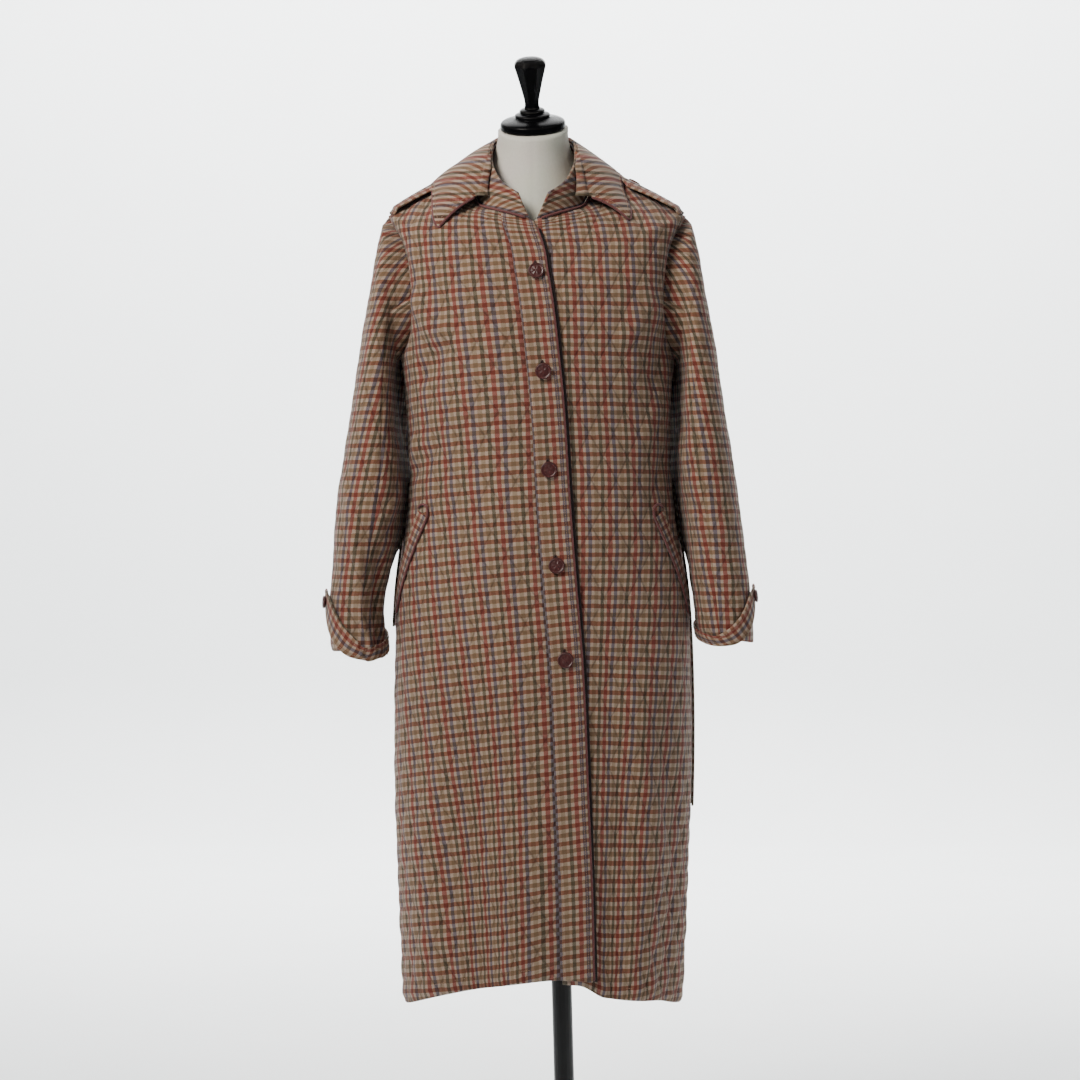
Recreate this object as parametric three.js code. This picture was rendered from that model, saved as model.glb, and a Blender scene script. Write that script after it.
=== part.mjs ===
// A long check coat, diamond quilted, buttoned right over left and hanging on a limbless dress form.
// Millimetres, +Z up. The coat faces -Y, and its wearer's right side is at -X.
// The origin is the centre of the base's underside, where the stand's pole is fixed.
import * as THREE from 'three';
import { mergeVertices } from 'three/addons/utils/BufferGeometryUtils.js';

// Cloth
const COAT_WALL = 3.2;
const QUILT_RISE = 1.8;
const TRIM_WALL = 2.6;
const SEAM_GAP = 0.3;
const PIPING_RADIUS = 1.7;
const PLACKET_WIDTH = 40;
const UNDERLAP = 36;
const FRONT_LIFT = 8.5;
const BELT_WIDTH = 40;
const WAIST_Z = 985;

// Buttons
const BUTTON_RADIUS = 11;
const BUTTON_HEIGHT = 4.2;
const SMALL_BUTTON_RADIUS = 9;

// Dress form
const REST_GAP = 0.4;
const POLE_RADIUS = 14;
const BASE_RADIUS = 185;
const BASE_HEIGHT = 42;
const FORM_BOTTOM_Z = 770;
const POLE_TOP_X = -20;

const FRONT = -1;
const BACK = 1;
const RIGHT = -1;
const LEFT = 1;
const QUARTER = Math.PI / 2;

const table = (columns, rows) => rows.map(
  row => Object.fromEntries(columns.map((name, i) => [name, row[i]])));

// The body's outer surface, a row for each level from hem to neckline. "rise" runs up the side seam.
// Each level is a squared quarter ellipse from the centre to an end at the side seam, the armhole
// or the shoulder seam. "neck" is how much of the neckline's V the level has. A corner is a level
// where the armhole starts or ends.
const BODY = table(
  ['rise', 'centreX', 'sideZ', 'frontHalf', 'frontEndY', 'backHalf', 'backEndY',
    'frontZ', 'frontY', 'backZ', 'backY', 'neck', 'corner'],
  [
    [0, -33, 268, 193, 0, 193, 0, 312, -150, 262, 138, 0],
    [140, -33.5, 408, 199, 0, 199, 0, 440, -150, 404, 140, 0],
    [280, -34, 548, 205, 0, 205, 0, 562, -149, 546, 139, 0],
    [420, -34, 688, 206, 0, 206, 0, 692, -146, 688, 133, 0],
    [560, -35, 828, 201, 0, 201, 0, 830, -140, 828, 122, 0],
    [720, -37, 988, 182, 0, 182, 0, 988, -129, 988, 108, 0],
    [830, -40, 1098, 184, 0, 184, 0, 1098, -133, 1098, 113, 0],
    [897, -41, 1165, 190, 0, 190, 0, 1163, -136, 1166, 118, 0, 1],
    [930, -41, 1192, 177, -40, 182, 42, 1188, -135, 1198, 119, 0],
    [990, -41, 1252, 173, -54, 178, 52, 1232, -130, 1262, 118, 0],
    [1060, -42, 1318, 184, -38, 187, 40, 1272, -121, 1330, 112, 0],
    [1110, -42, 1362, 207, 0, 207, 0, 1300, -112, 1376, 104, 0, 1],
    [1155, -44, 1386, 168, 3, 168, 3, 1318, -106, 1402, 96, 0.2],
    [1200, -46, 1410, 127, 5, 127, 5, 1332, -100, 1426, 86, 0.6],
    [1245, -47, 1435, 84, 8, 84, 8, 1345, -95, 1450, 74, 1],
  ]);
const NECK_RISE = 1245;
const TIP_RISE = 1110;
const UNDERARM_RISE = 897;
const ROUNDNESS = 0.9;

// The levels of the quilting grid: hem to underarm, underarm to shoulder tip, tip to neckline.
const ARMHOLE_STEPS = 6;
const LEVELS = [[0, UNDERARM_RISE, 28], [UNDERARM_RISE, TIP_RISE, ARMHOLE_STEPS], [TIP_RISE, NECK_RISE, 4]]
  .flatMap(([from, to, steps]) => Array.from({ length: steps }, (_, k) => from + (to - from) * k / steps))
  .concat(NECK_RISE);
const BODY_ROWS = LEVELS.length - 1;

// The front edge, as its distance to the wearer's left of the centre line at each height.
const FRONT_EDGE = table(['z', 'offset'], [
  [300, 63], [420, 61], [560, 57], [740, 50], [850, 42], [980, 34.5],
  [1100, 30], [1200, 21], [1310, 7], [1346, 0],
]);

// Main folds, as soft ridges or troughs from one point to another on the front or back.
const FOLDS = table(['face', 'x1', 'z1', 'x2', 'z2', 'width', 'height'], [
  [FRONT, -222, 1262, -172, 1178, 26, 7],
  [FRONT, -176, 1190, -206, 1120, 24, -6],
  [FRONT, -192, 1060, -212, 1010, 22, 5],
  [FRONT, 132, 1252, 62, 1180, 26, 6],
  [FRONT, 150, 1200, 118, 1090, 24, -5],
  [FRONT, -150, 800, -190, 300, 34, 6],
  [FRONT, -95, 720, -118, 290, 30, -5],
  [FRONT, -30, 640, -45, 300, 34, 4],
  [FRONT, 100, 760, 92, 290, 34, 6],
  [FRONT, 140, 700, 146, 280, 28, -5],
  [BACK, -150, 820, -160, 270, 36, 6],
  [BACK, -70, 860, -78, 270, 34, -5],
  [BACK, 10, 820, 6, 270, 38, 6],
  [BACK, 90, 840, 98, 270, 34, -5],
  [BACK, -120, 1260, -40, 1090, 36, 5],
  [BACK, 70, 1250, 0, 1090, 34, 5],
]);

const mix = (a, b, t) => a + (b - a) * t;
const clamp = (value, low, high) => Math.min(high, Math.max(low, value));
const smooth = t => {
  const c = clamp(t, 0, 1);
  return c * c * (3 - 2 * c);
};
const signedPower = (value, power) => Math.sign(value) * Math.abs(value) ** power;

// Reads one column of a table at any place, on a smooth curve through its rows. The curve turns
// sharply only at a row marked as a corner.
function read(rows, along, name, at) {
  const last = rows.length - 1;
  let i = 0;
  while (i < last - 1 && at > rows[i + 1][along]) i += 1;
  const slope = k => {
    const corner = rows[k].corner;
    const a = rows[corner && k === i ? k : Math.max(k - 1, 0)];
    const b = rows[corner && k !== i ? k : Math.min(k + 1, last)];
    return (b[name] - a[name]) / (b[along] - a[along]);
  };
  const span = rows[i + 1][along] - rows[i][along];
  const t = (at - rows[i][along]) / span;
  if (t < 0) return rows[i][name] + slope(i) * span * t;
  if (t > 1) return rows[i + 1][name] + slope(i + 1) * span * (t - 1);
  const h = t * t * (3 - 2 * t);
  return mix(rows[i][name], rows[i + 1][name], h)
    + span * t * (1 - t) * ((1 - t) * slope(i) - t * slope(i + 1));
}

const vec = (x, y, z) => new THREE.Vector3(x, y, z);

function foldHeight(face, x, z) {
  let height = 0;
  for (const fold of FOLDS) {
    if (fold.face !== face) continue;
    const dx = fold.x2 - fold.x1;
    const dz = fold.z2 - fold.z1;
    const length = Math.hypot(dx, dz);
    const along = ((x - fold.x1) * dx + (z - fold.z1) * dz) / length;
    const across = ((x - fold.x1) * dz - (z - fold.z1) * dx) / length;
    const ends = smooth(along / (0.35 * length)) * smooth((length * 1.05 - along) / (0.35 * length));
    const open = fold.z2 < 320 ? smooth(along / (0.5 * length)) : ends;
    height += fold.height * open * Math.exp(-((across / fold.width) ** 2));
  }
  return height;
}

// How far the right front stands off the left one where it lies over it.
function overlapLift(offset, z) {
  const edge = read(FRONT_EDGE, 'z', 'offset', clamp(z, 300, 1346));
  return FRONT_LIFT * smooth((offset - edge + 190) / 110);
}

// A point of the body at one level, angle 0 at the centre line and a quarter turn at its end.
function bodyPoint(face, side, rise, angle, lifted = false) {
  const at = name => read(BODY, 'rise', name, rise);
  const half = at(face === FRONT ? 'frontHalf' : 'backHalf');
  const endY = at(face === FRONT ? 'frontEndY' : 'backEndY');
  const midY = at(face === FRONT ? 'frontY' : 'backY');
  const midZ = at(face === FRONT ? 'frontZ' : 'backZ');
  const sine = signedPower(Math.sin(angle), ROUNDNESS);
  const cosine = signedPower(Math.cos(angle), ROUNDNESS);
  const plain = Math.sin(angle) ** 2;
  const vee = 0.3 * plain ** 0.35 + 0.7 * plain ** 6;
  const neck = face === FRONT ? clamp(at('neck'), 0, 1) : 0;
  const offset = side * half * sine;
  const x = at('centreX') + offset;
  const z = mix(midZ, at('sideZ'), mix(plain, vee, neck));
  const y = endY + (midY - endY) * cosine;
  const fade = smooth(3 * Math.cos(angle)) * smooth((NECK_RISE - rise) / 60);
  let out = foldHeight(face, x, z) * fade;
  if (lifted) out += overlapLift(offset, z) * smooth(1.2 * Math.cos(angle));
  return vec(x + side * Math.sin(angle) * out, y + face * Math.abs(Math.cos(angle)) * out, z);
}

// Angles at even steps of length along one level.
function evenAngles(point, from, to, count) {
  const steps = 48;
  const lengths = [0];
  let last = point(from);
  for (let k = 1; k <= steps; k += 1) {
    const next = point(mix(from, to, k / steps));
    lengths.push(lengths[k - 1] + next.distanceTo(last));
    last = next;
  }
  const angles = [];
  let k = 0;
  for (let i = 0; i <= count; i += 1) {
    const want = lengths[steps] * i / count;
    while (k < steps - 1 && lengths[k + 1] < want) k += 1;
    const part = (want - lengths[k]) / (lengths[k + 1] - lengths[k]);
    angles.push(mix(from, to, (k + part) / steps));
  }
  return { angles, length: lengths[steps] };
}

// The way out of a surface given by a function of two numbers, away from an inner point.
function normalAt(point, a, b, stepA, stepB, inner) {
  const alongA = point(a + stepA, b).sub(point(a - stepA, b));
  const alongB = point(a, b + stepB).sub(point(a, b - stepB));
  const normal = alongA.cross(alongB).normalize();
  const here = point(a, b);
  return normal.dot(here.clone().sub(inner(here))) < 0 ? normal.negate() : normal;
}
const bodyAxis = p => vec(-40, 0, Math.min(p.z, 1300) - 60);

function bodyNormal(face, side, rise, angle, lifted = false) {
  const near = clamp(rise, 1, NECK_RISE - 1);
  return normalAt((a, b) => bodyPoint(face, side, b, a, lifted), angle, near, 0.02, 1, bodyAxis);
}

// A closed wall from a grid of outer points and one of inner points. The inner grid may have half
// the rows. The outer cells are cut along the quilting lines, which join the grid's low points.
function wallGeometry(outer, inner, phase = 0) {
  const rows = outer.length - 1;
  const columns = outer[0].length - 1;
  const innerRows = inner.length - 1;
  const skip = rows / innerRows;
  const points = [];
  const faces = [];
  const put = grid => grid.map(row => row.map(p => points.push(p.x, p.y, p.z) / 3 - 1));
  const out = put(outer);
  const inn = put(inner);
  const quad = (a, b, c, d) => faces.push(a, b, c, a, c, d);
  for (let j = 0; j < rows; j += 1) {
    for (let i = 0; i < columns; i += 1) {
      const [a, b, c, d] = [out[j][i], out[j][i + 1], out[j + 1][i + 1], out[j + 1][i]];
      if ((i + j + phase) % 2 === 0) quad(a, b, c, d);
      else quad(b, c, d, a);
    }
  }
  for (let j = 0; j < innerRows; j += 1) {
    for (let i = 0; i < columns; i += 1) quad(inn[j][i], inn[j + 1][i], inn[j + 1][i + 1], inn[j][i + 1]);
  }
  for (let i = 0; i < columns; i += 1) {
    quad(out[0][i], inn[0][i], inn[0][i + 1], out[0][i + 1]);
    quad(out[rows][i + 1], inn[innerRows][i + 1], inn[innerRows][i], out[rows][i]);
  }
  for (let j = 0; j < innerRows; j += 1) {
    for (const [i, turned] of [[0, false], [columns, true]]) {
      const chain = out.slice(j * skip, (j + 1) * skip + 1).map(row => row[i]);
      const low = inn[j][i];
      const high = inn[j + 1][i];
      const add = (a, b, c) => faces.push(...(turned ? [c, b, a] : [a, b, c]));
      const half = Math.ceil(skip / 2);
      for (let k = 0; k < skip; k += 1) add(chain[k], chain[k + 1], k < half ? low : high);
      add(chain[half], high, low);
    }
  }
  return closedGeometry(points, faces);
}

function closedGeometry(points, faces) {
  const geometry = new THREE.BufferGeometry();
  const corner = (f, k) => vec(...points.slice(3 * faces[f + k], 3 * faces[f + k] + 3));
  let volume = 0;
  for (let f = 0; f < faces.length; f += 3) volume += corner(f, 0).dot(corner(f, 1).cross(corner(f, 2)));
  if (volume < 0) faces.reverse();
  geometry.setAttribute('position', new THREE.Float32BufferAttribute(points, 3));
  geometry.setIndex(faces);
  const merged = mergeVertices(geometry, 1e-4);
  merged.computeVertexNormals();
  return merged;
}

// A quilted wall over a surface function (u, v), with u and v from 0 to 1. Raised at every second
// point of the grid, which makes the diamonds, and plain inside.
function quiltedWall({ point, normal, columns, rows, phase = 0, wall = COAT_WALL, rise = QUILT_RISE }) {
  const outer = [];
  const inner = [];
  for (let j = 0; j <= rows; j += 1) {
    const outerRow = [];
    const innerRow = [];
    for (let i = 0; i <= columns; i += 1) {
      const p = point(i / columns, j / rows);
      const n = normal(i / columns, j / rows);
      const inside = i > 0 && i < columns && j > 0 && j < rows;
      const raised = inside && (i + j + phase) % 2 === 1;
      outerRow.push(p.clone().addScaledVector(n, raised ? rise : 0));
      innerRow.push(p.clone().addScaledVector(n, -wall));
    }
    outer.push(outerRow);
    if (rows % 2 === 1 || j % 2 === 0) inner.push(innerRow);
  }
  return wallGeometry(outer, inner, phase);
}

// A plain strip of cloth over a surface function of two numbers from 0 to 1, lying outside it.
function strip({ point, normal, columns, rows, wall = TRIM_WALL, off = 0 }) {
  const outer = [];
  const inner = [];
  for (let j = 0; j <= rows; j += 1) {
    outer.push([]);
    inner.push([]);
    for (let i = 0; i <= columns; i += 1) {
      const p = point(i / columns, j / rows);
      const n = normal(i / columns, j / rows);
      outer[j].push(p.clone().addScaledVector(n, off + wall));
      inner[j].push(p.clone().addScaledVector(n, off));
    }
  }
  return wallGeometry(outer, inner);
}

const group = new THREE.Group();
const finish = (color, roughness, metalness = 0) => new THREE.MeshStandardMaterial({
  color, roughness, metalness, flatShading: true,
});
const CHECK_CLOTH = finish('#8a7563', 0.92);
const PIPING_CLOTH = finish('#5c2f2b', 0.7);
const BUTTON_PLASTIC = finish('#54231f', 0.4);
const CANVAS = finish('#dcd7cb', 0.85);
const BLACK_LACQUER = finish('#0c0c0e', 0.25);
const BLACK_STEEL = finish('#121214', 0.45, 0.3);

function add(name, geometry, material) {
  const mesh = new THREE.Mesh(geometry, material);
  mesh.name = name;
  group.add(mesh);
  return mesh;
}

// Fronts and back. A panel runs from one angle to another, each a function of the level.
function bodyPanel(name, face, side, fromAngle, toAngle, columns, rows, options = {}) {
  const lifted = Boolean(options.lifted);
  const levels = new Map();
  const level = v => {
    if (!levels.has(v)) {
      const rise = LEVELS[Math.round(v * BODY_ROWS)];
      const from = fromAngle(rise);
      const to = toAngle(rise);
      const even = evenAngles(a => bodyPoint(face, side, rise, a, lifted), from, to, columns);
      const inset = SEAM_GAP / 2 / even.length * (to - from);
      even.angles[0] += options.openStart ? 0 : inset;
      even.angles[columns] -= options.openEnd ? 0 : inset;
      levels.set(v, { rise, angles: even.angles });
    }
    return levels.get(v);
  };
  const place = (u, v) => {
    const { rise, angles } = level(v);
    return [rise, angles[Math.round(u * columns)]];
  };
  add(name, quiltedWall({
    point: (u, v) => {
      const [rise, angle] = place(u, v);
      return bodyPoint(face, side, rise, angle, lifted);
    },
    normal: (u, v) => {
      const [rise, angle] = place(u, v);
      return bodyNormal(face, side, rise, angle, lifted);
    },
    columns, rows, phase: options.phase || 0,
  }), CHECK_CLOTH);
}

// The angle at which a front's level passes a given distance from the centre line.
function angleAtOffset(rise, side, distanceAt) {
  const half = read(BODY, 'rise', 'frontHalf', rise);
  let angle = 0;
  for (let k = 0; k < 8; k += 1) {
    const z = bodyPoint(FRONT, side, rise, angle).z;
    const offset = distanceAt(clamp(z, 300, 1346));
    angle = Math.asin(signedPower(clamp(offset / half, -1, 1), 1 / ROUNDNESS));
  }
  return angle;
}
const edgeOffset = z => read(FRONT_EDGE, 'z', 'offset', z);
const seamFade = z => smooth((1346 - z) / 60);
const placketSeam = rise => angleAtOffset(rise, RIGHT, z => PLACKET_WIDTH - edgeOffset(z));
const rightEdge = rise => angleAtOffset(rise, RIGHT, z => -edgeOffset(z));
const leftEdge = rise => angleAtOffset(rise, LEFT, z => edgeOffset(z) - UNDERLAP * seamFade(z));

bodyPanel('right_front', FRONT, RIGHT, placketSeam, () => QUARTER, 12, BODY_ROWS, { lifted: true });
bodyPanel('right_front_placket', FRONT, RIGHT, rightEdge, placketSeam, 2, BODY_ROWS,
  { lifted: true, openStart: true });
bodyPanel('left_front', FRONT, LEFT, leftEdge, () => QUARTER, 14, BODY_ROWS, { openStart: true });
bodyPanel('back', BACK, LEFT, () => -QUARTER, () => QUARTER, 28, BODY_ROWS);

// A place beside the side or shoulder seam: a distance round from it, to the front below zero, on
// one level. It gives the point and the way out.
function besideSeam(side, distance, rise) {
  const face = distance < 0 ? FRONT : BACK;
  const lifted = face === FRONT && side === RIGHT;
  const even = evenAngles(a => bodyPoint(face, side, rise, a), QUARTER, 0, 24);
  const step = clamp(Math.abs(distance) / even.length, 0, 1) * 24;
  const i = Math.min(23, Math.floor(step));
  const angle = mix(even.angles[i], even.angles[i + 1], step - i);
  return {
    point: bodyPoint(face, side, rise, angle, lifted),
    normal: bodyNormal(face, side, rise, angle, lifted),
  };
}

// The same for a height in place of a level, below the underarm.
function sidePlace(side, distance, z) {
  let rise = z - 268;
  for (let k = 0; k < 3; k += 1) rise += z - besideSeam(side, distance, rise).point.z;
  return besideSeam(side, distance, rise);
}

// A place on a front, by its real x and z.
function frontPlace(side, x, z, lifted) {
  let low = 0;
  let high = NECK_RISE;
  let angle = 0;
  for (let k = 0; k < 40; k += 1) {
    const rise = (low + high) / 2;
    const half = read(BODY, 'rise', 'frontHalf', rise);
    const offset = side * (x - read(BODY, 'rise', 'centreX', rise));
    angle = Math.asin(signedPower(clamp(offset / half, -1, 1), 1 / ROUNDNESS));
    if (bodyPoint(FRONT, side, rise, angle).z < z) low = rise;
    else high = rise;
  }
  return {
    point: bodyPoint(FRONT, side, low, angle, lifted),
    normal: bodyNormal(FRONT, side, low, angle, lifted),
  };
}

// Sleeves. "out" is the sleeve's outer line and "in" its line under the arm, at each level down.
const SLEEVES = {
  right: table(['v', 'outX', 'outZ', 'inX', 'inZ', 'frontY', 'backY'], [
    [1, -257, 1350, -237, 1158, -60, 57], [2, -266, 1310, -241, 1128, -68, 64],
    [3.5, -276, 1250, -240, 1085, -76, 72], [5, -287, 1188, -237, 1050, -80, 77],
    [7, -299, 1105, -231, 1010, -84, 78], [9, -311, 1030, -228, 968, -85, 73],
    [11, -320, 965, -233, 930, -84, 64], [13.5, -325, 885, -245, 875, -81, 53],
    [16, -330, 822, -256, 822, -77, 43], [18, -329, 770, -254, 775, -74, 37],
    [18.6, -328, 757, -253, 762, -73, 35],
  ]),
  left: table(['v', 'outX', 'outZ', 'inX', 'inZ', 'frontY', 'backY'], [
    [1, 173, 1352, 155, 1158, -60, 57], [2, 183, 1312, 159, 1128, -68, 64],
    [3.5, 193, 1252, 158, 1085, -76, 72], [5, 205, 1190, 156, 1050, -80, 77],
    [7, 217, 1110, 155, 1010, -84, 78], [9, 229, 1035, 158, 968, -85, 73],
    [11, 238, 968, 163, 930, -84, 64], [13.5, 248, 890, 169, 880, -81, 53],
    [16, 255, 830, 176, 832, -77, 43], [18, 259, 782, 181, 792, -74, 37],
    [18.6, 260, 769, 183, 781, -73, 35],
  ]),
};
const SLEEVE_ROWS = 20;
const SLEEVE_END = 18.6;
const SLEEVE_COLUMNS = 4 * ARMHOLE_STEPS;

// The armhole as a ring, angle 0 at the shoulder tip, then the front, the underarm and the back. It
// runs straight from one level of the panels to the next, as their edges do.
function armholePoint(side, angle) {
  const turn = ((angle / (2 * Math.PI)) % 1 + 1) % 1;
  const face = turn < 0.5 ? FRONT : BACK;
  const down = (turn < 0.5 ? turn * 2 : 2 - turn * 2) * ARMHOLE_STEPS;
  const step = Math.min(Math.floor(down), ARMHOLE_STEPS - 1);
  const corner = k => bodyPoint(face, side, mix(TIP_RISE, UNDERARM_RISE, k / ARMHOLE_STEPS), QUARTER);
  return corner(step).lerp(corner(step + 1), down - step);
}

function sleevePoint(rows, side, angle, v) {
  const armhole = armholePoint(side, angle);
  armhole.x += side * SEAM_GAP;
  const at = name => read(rows, 'v', name, Math.max(v, 1));
  const out = vec(at('outX'), 0, at('outZ'));
  const under = vec(at('inX'), 0, at('inZ'));
  const middle = out.clone().add(under).multiplyScalar(0.5);
  const reach = out.clone().sub(middle);
  const midY = (at('frontY') + at('backY')) / 2;
  const deep = (at('backY') - at('frontY')) / 2;
  const ring = middle.addScaledVector(reach, signedPower(Math.cos(angle), 0.9));
  ring.y = midY - deep * signedPower(Math.sin(angle), 0.9);
  return armhole.lerp(ring, smooth(v) * 0.5 + clamp(v, 0, 1) * 0.5);
}

function sleeveNormal(rows, side, angle, v) {
  if (v < 0.01) {
    const p = armholePoint(side, angle);
    return vec(0, p.y, p.z - 1270).normalize();
  }
  const middle = () => {
    const a = sleevePoint(rows, side, 0, v);
    const b = sleevePoint(rows, side, Math.PI, v);
    return a.add(b).multiplyScalar(0.5);
  };
  return normalAt((a, b) => sleevePoint(rows, side, a, Math.max(b, 0)), angle, v, 0.03, 0.05, middle);
}

// Sleeve pieces run from one of the sleeve's columns to another.
function addSleeve(name, rows, side, from, to) {
  const gap = SEAM_GAP / 2 / 16;
  const turnAt = column => 2 * Math.PI * column / SLEEVE_COLUMNS;
  const place = (u, v) => [turnAt(clamp(mix(from, to, u), from + gap, to - gap)), v * SLEEVE_END];
  add(name, quiltedWall({
    point: (u, v) => sleevePoint(rows, side, ...place(u, v)),
    normal: (u, v) => sleeveNormal(rows, side, ...place(u, v)),
    columns: to - from, rows: SLEEVE_ROWS, phase: Math.abs(from) % 2,
  }), CHECK_CLOTH);
}
for (const [word, side] of [['right', RIGHT], ['left', LEFT]]) {
  addSleeve(`${word}_sleeve_outer`, SLEEVES[word], side, -6, 7);
  addSleeve(`${word}_sleeve_under`, SLEEVES[word], side, 7, 18);
}

// Collar. "around" runs from 0 at the centre front past 90 at the shoulder to 180 at the back.
const COLLAR_X = -47;
const DEGREE = Math.PI / 180;
const collarAxis = p => vec(COLLAR_X, -10, p.z - 30);

function aroundPlace(side, around, rise) {
  const face = around <= 90 ? FRONT : BACK;
  const angle = (around <= 90 ? around : 180 - around) * DEGREE;
  const lifted = face === FRONT && side === RIGHT;
  return {
    point: bodyPoint(face, side, rise, angle, lifted),
    normal: bodyNormal(face, side, rise, angle, lifted),
  };
}

const STAND = table(['turn', 'around', 'topOut', 'topY', 'topZ'], [
  [0, 3, 22, -101, 1384], [0.16, 30, 46, -84, 1404], [0.32, 57, 58, -52, 1433],
  [0.5, 90, 56, 0, 1461], [0.75, 135, 38, 47, 1476], [1, 180, 0, 62, 1480],
]);

function standPoint(u, v) {
  const side = u < 0.5 ? RIGHT : LEFT;
  const turn = 1 - Math.abs(2 * u - 1);
  const at = name => read(STAND, 'turn', name, turn);
  const around = clamp(at('around'), 3, 180);
  const foot = aroundPlace(side, around, NECK_RISE).point;
  const below = aroundPlace(side, around, NECK_RISE - 4).point;
  foot.addScaledVector(foot.clone().sub(below).normalize(), SEAM_GAP + 1.2);
  const top = vec(COLLAR_X + side * at('topOut'), at('topY'), at('topZ'));
  const swell = Math.sin(Math.PI * v) * 2.5;
  return foot.lerp(top, v).add(vec(side * swell * Math.sin(Math.PI * turn), 0, 0));
}
const standNormal = (u, v) => normalAt(standPoint, clamp(u, 0.01, 0.99), clamp(v, 0.05, 0.95),
  0.01, 0.05, collarAxis);
add('collar_stand', strip({
  point: standPoint, normal: standNormal, columns: 28, rows: 2, wall: TRIM_WALL, off: -TRIM_WALL,
}), CHECK_CLOTH);

// The leaf rolls over from a line near the stand's top and falls to an edge above the coat.
const ROLL = table(['turn', 'out', 'y', 'z'], [
  [0, 77, -72, 1384], [0.12, 70, -62, 1413], [0.24, 64, -46, 1442],
  [0.42, 58, 0, 1468], [0.7, 39, 49, 1483], [1, 0, 66, 1487],
]);
const LEAF_EDGE = {
  [RIGHT]: table(['turn', 'around', 'rise', 'lift', 'crown'], [
    [0, 42.5, 1135, 4, 9], [0.12, 60, 1168, 6, 13], [0.24, 78, 1184, 8.5, 13],
    [0.42, 106, 1186, 8.5, 12], [0.7, 140, 1180, 5, 12], [1, 180, 1174, 5, 16],
  ]),
  [LEFT]: table(['turn', 'around', 'rise', 'lift', 'crown'], [
    [0, 46, 1150, 4, 9], [0.12, 64, 1186, 6, 12], [0.24, 79, 1205, 7.5, 9],
    [0.42, 106, 1207, 7.5, 7], [0.7, 140, 1190, 5, 12], [1, 180, 1174, 5, 16],
  ]),
};

function leafPoint(u, v) {
  const side = u < 0.5 ? RIGHT : LEFT;
  const turn = 1 - Math.abs(2 * u - 1);
  const at = name => read(LEAF_EDGE[side], 'turn', name, turn);
  const onLifted = side === RIGHT ? 7 * (1 - smooth(turn / 0.3)) : 0;
  const roll = vec(COLLAR_X + side * read(ROLL, 'turn', 'out', turn),
    read(ROLL, 'turn', 'y', turn) - onLifted, read(ROLL, 'turn', 'z', turn));
  const place = aroundPlace(side, clamp(at('around'), 0, 180), at('rise'));
  const edge = place.point.addScaledVector(place.normal, at('lift'));
  const away = vec(edge.x - COLLAR_X, edge.y + 10, 0).normalize().multiplyScalar(0.6).setZ(0.8);
  const crown = roll.clone().add(edge).multiplyScalar(0.5).addScaledVector(away, at('crown'));
  return roll.multiplyScalar((1 - v) ** 2).addScaledVector(crown, 2 * v * (1 - v))
    .addScaledVector(edge, v * v);
}
const leafNormal = (u, v) => normalAt(leafPoint, clamp(u, 0.01, 0.99), clamp(v, 0.02, 0.98),
  0.01, 0.02, collarAxis);
add('collar_leaf', strip({ point: leafPoint, normal: leafNormal, columns: 30, rows: 4 }), CHECK_CLOTH);

// Piping is a round cord in a cloth cover, laid along an edge: a five-sided ring at each place.
const PIPING_SIDES = 5;
function piping(name, places) {
  const rings = places.map(({ point, normal }, k) => {
    const before = places[Math.max(k - 1, 0)].point;
    const after = places[Math.min(k + 1, places.length - 1)].point;
    const along = after.clone().sub(before).normalize();
    const over = along.clone().cross(normal).normalize();
    const up = over.clone().cross(along);
    return Array.from({ length: PIPING_SIDES }, (_, side) => {
      const angle = 2 * Math.PI * side / PIPING_SIDES;
      return point.clone().addScaledVector(up, PIPING_RADIUS * Math.cos(angle))
        .addScaledVector(over, PIPING_RADIUS * Math.sin(angle));
    });
  });
  add(name, loftGeometry(rings), PIPING_CLOTH);
}
const steps = (count, make) => Array.from({ length: count + 1 }, (_, k) => make(k / count));
const BESIDE = PIPING_RADIUS + SEAM_GAP;

function besideLeaf(u, v, stepU, stepV) {
  const edge = leafPoint(u, v);
  const normal = leafNormal(u, v);
  const point = edge.clone().addScaledVector(normal, TRIM_WALL / 2);
  for (const back of [stepU && leafPoint(u + stepU, v), stepV && leafPoint(u, v + stepV)]) {
    if (back) point.addScaledVector(edge.clone().sub(back).normalize(), BESIDE + 0.8);
  }
  return { point, normal };
}
piping('collar_piping', [
  ...steps(3, t => besideLeaf(0, mix(0.04, 0.96, t), 0.02, 0)),
  besideLeaf(0, 1, 0.02, -0.05),
  ...steps(28, t => besideLeaf(mix(0.01, 0.99, t), 1, 0, -0.05)),
  besideLeaf(1, 1, -0.02, -0.05),
  ...steps(3, t => besideLeaf(1, mix(0.96, 0.04, t), -0.02, 0)),
]);

for (const [word, side] of [['right', RIGHT], ['left', LEFT]]) {
  piping(`${word}_neck_piping`, steps(12, t => {
    const place = aroundPlace(side, mix(5, 78, t), NECK_RISE - 3);
    place.point.addScaledVector(place.normal, BESIDE + 0.3);
    return place;
  }));
}
piping('front_edge_piping', LEVELS.slice(0, -1).map(rise => {
  const level = Math.max(rise, 2);
  const point = bodyPoint(FRONT, RIGHT, level, rightEdge(level), true);
  const normal = bodyNormal(FRONT, RIGHT, level, rightEdge(level), true);
  point.addScaledVector(normal, -COAT_WALL / 2).add(vec(BESIDE + 0.2, 0, 0));
  return { point, normal };
}));

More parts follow.
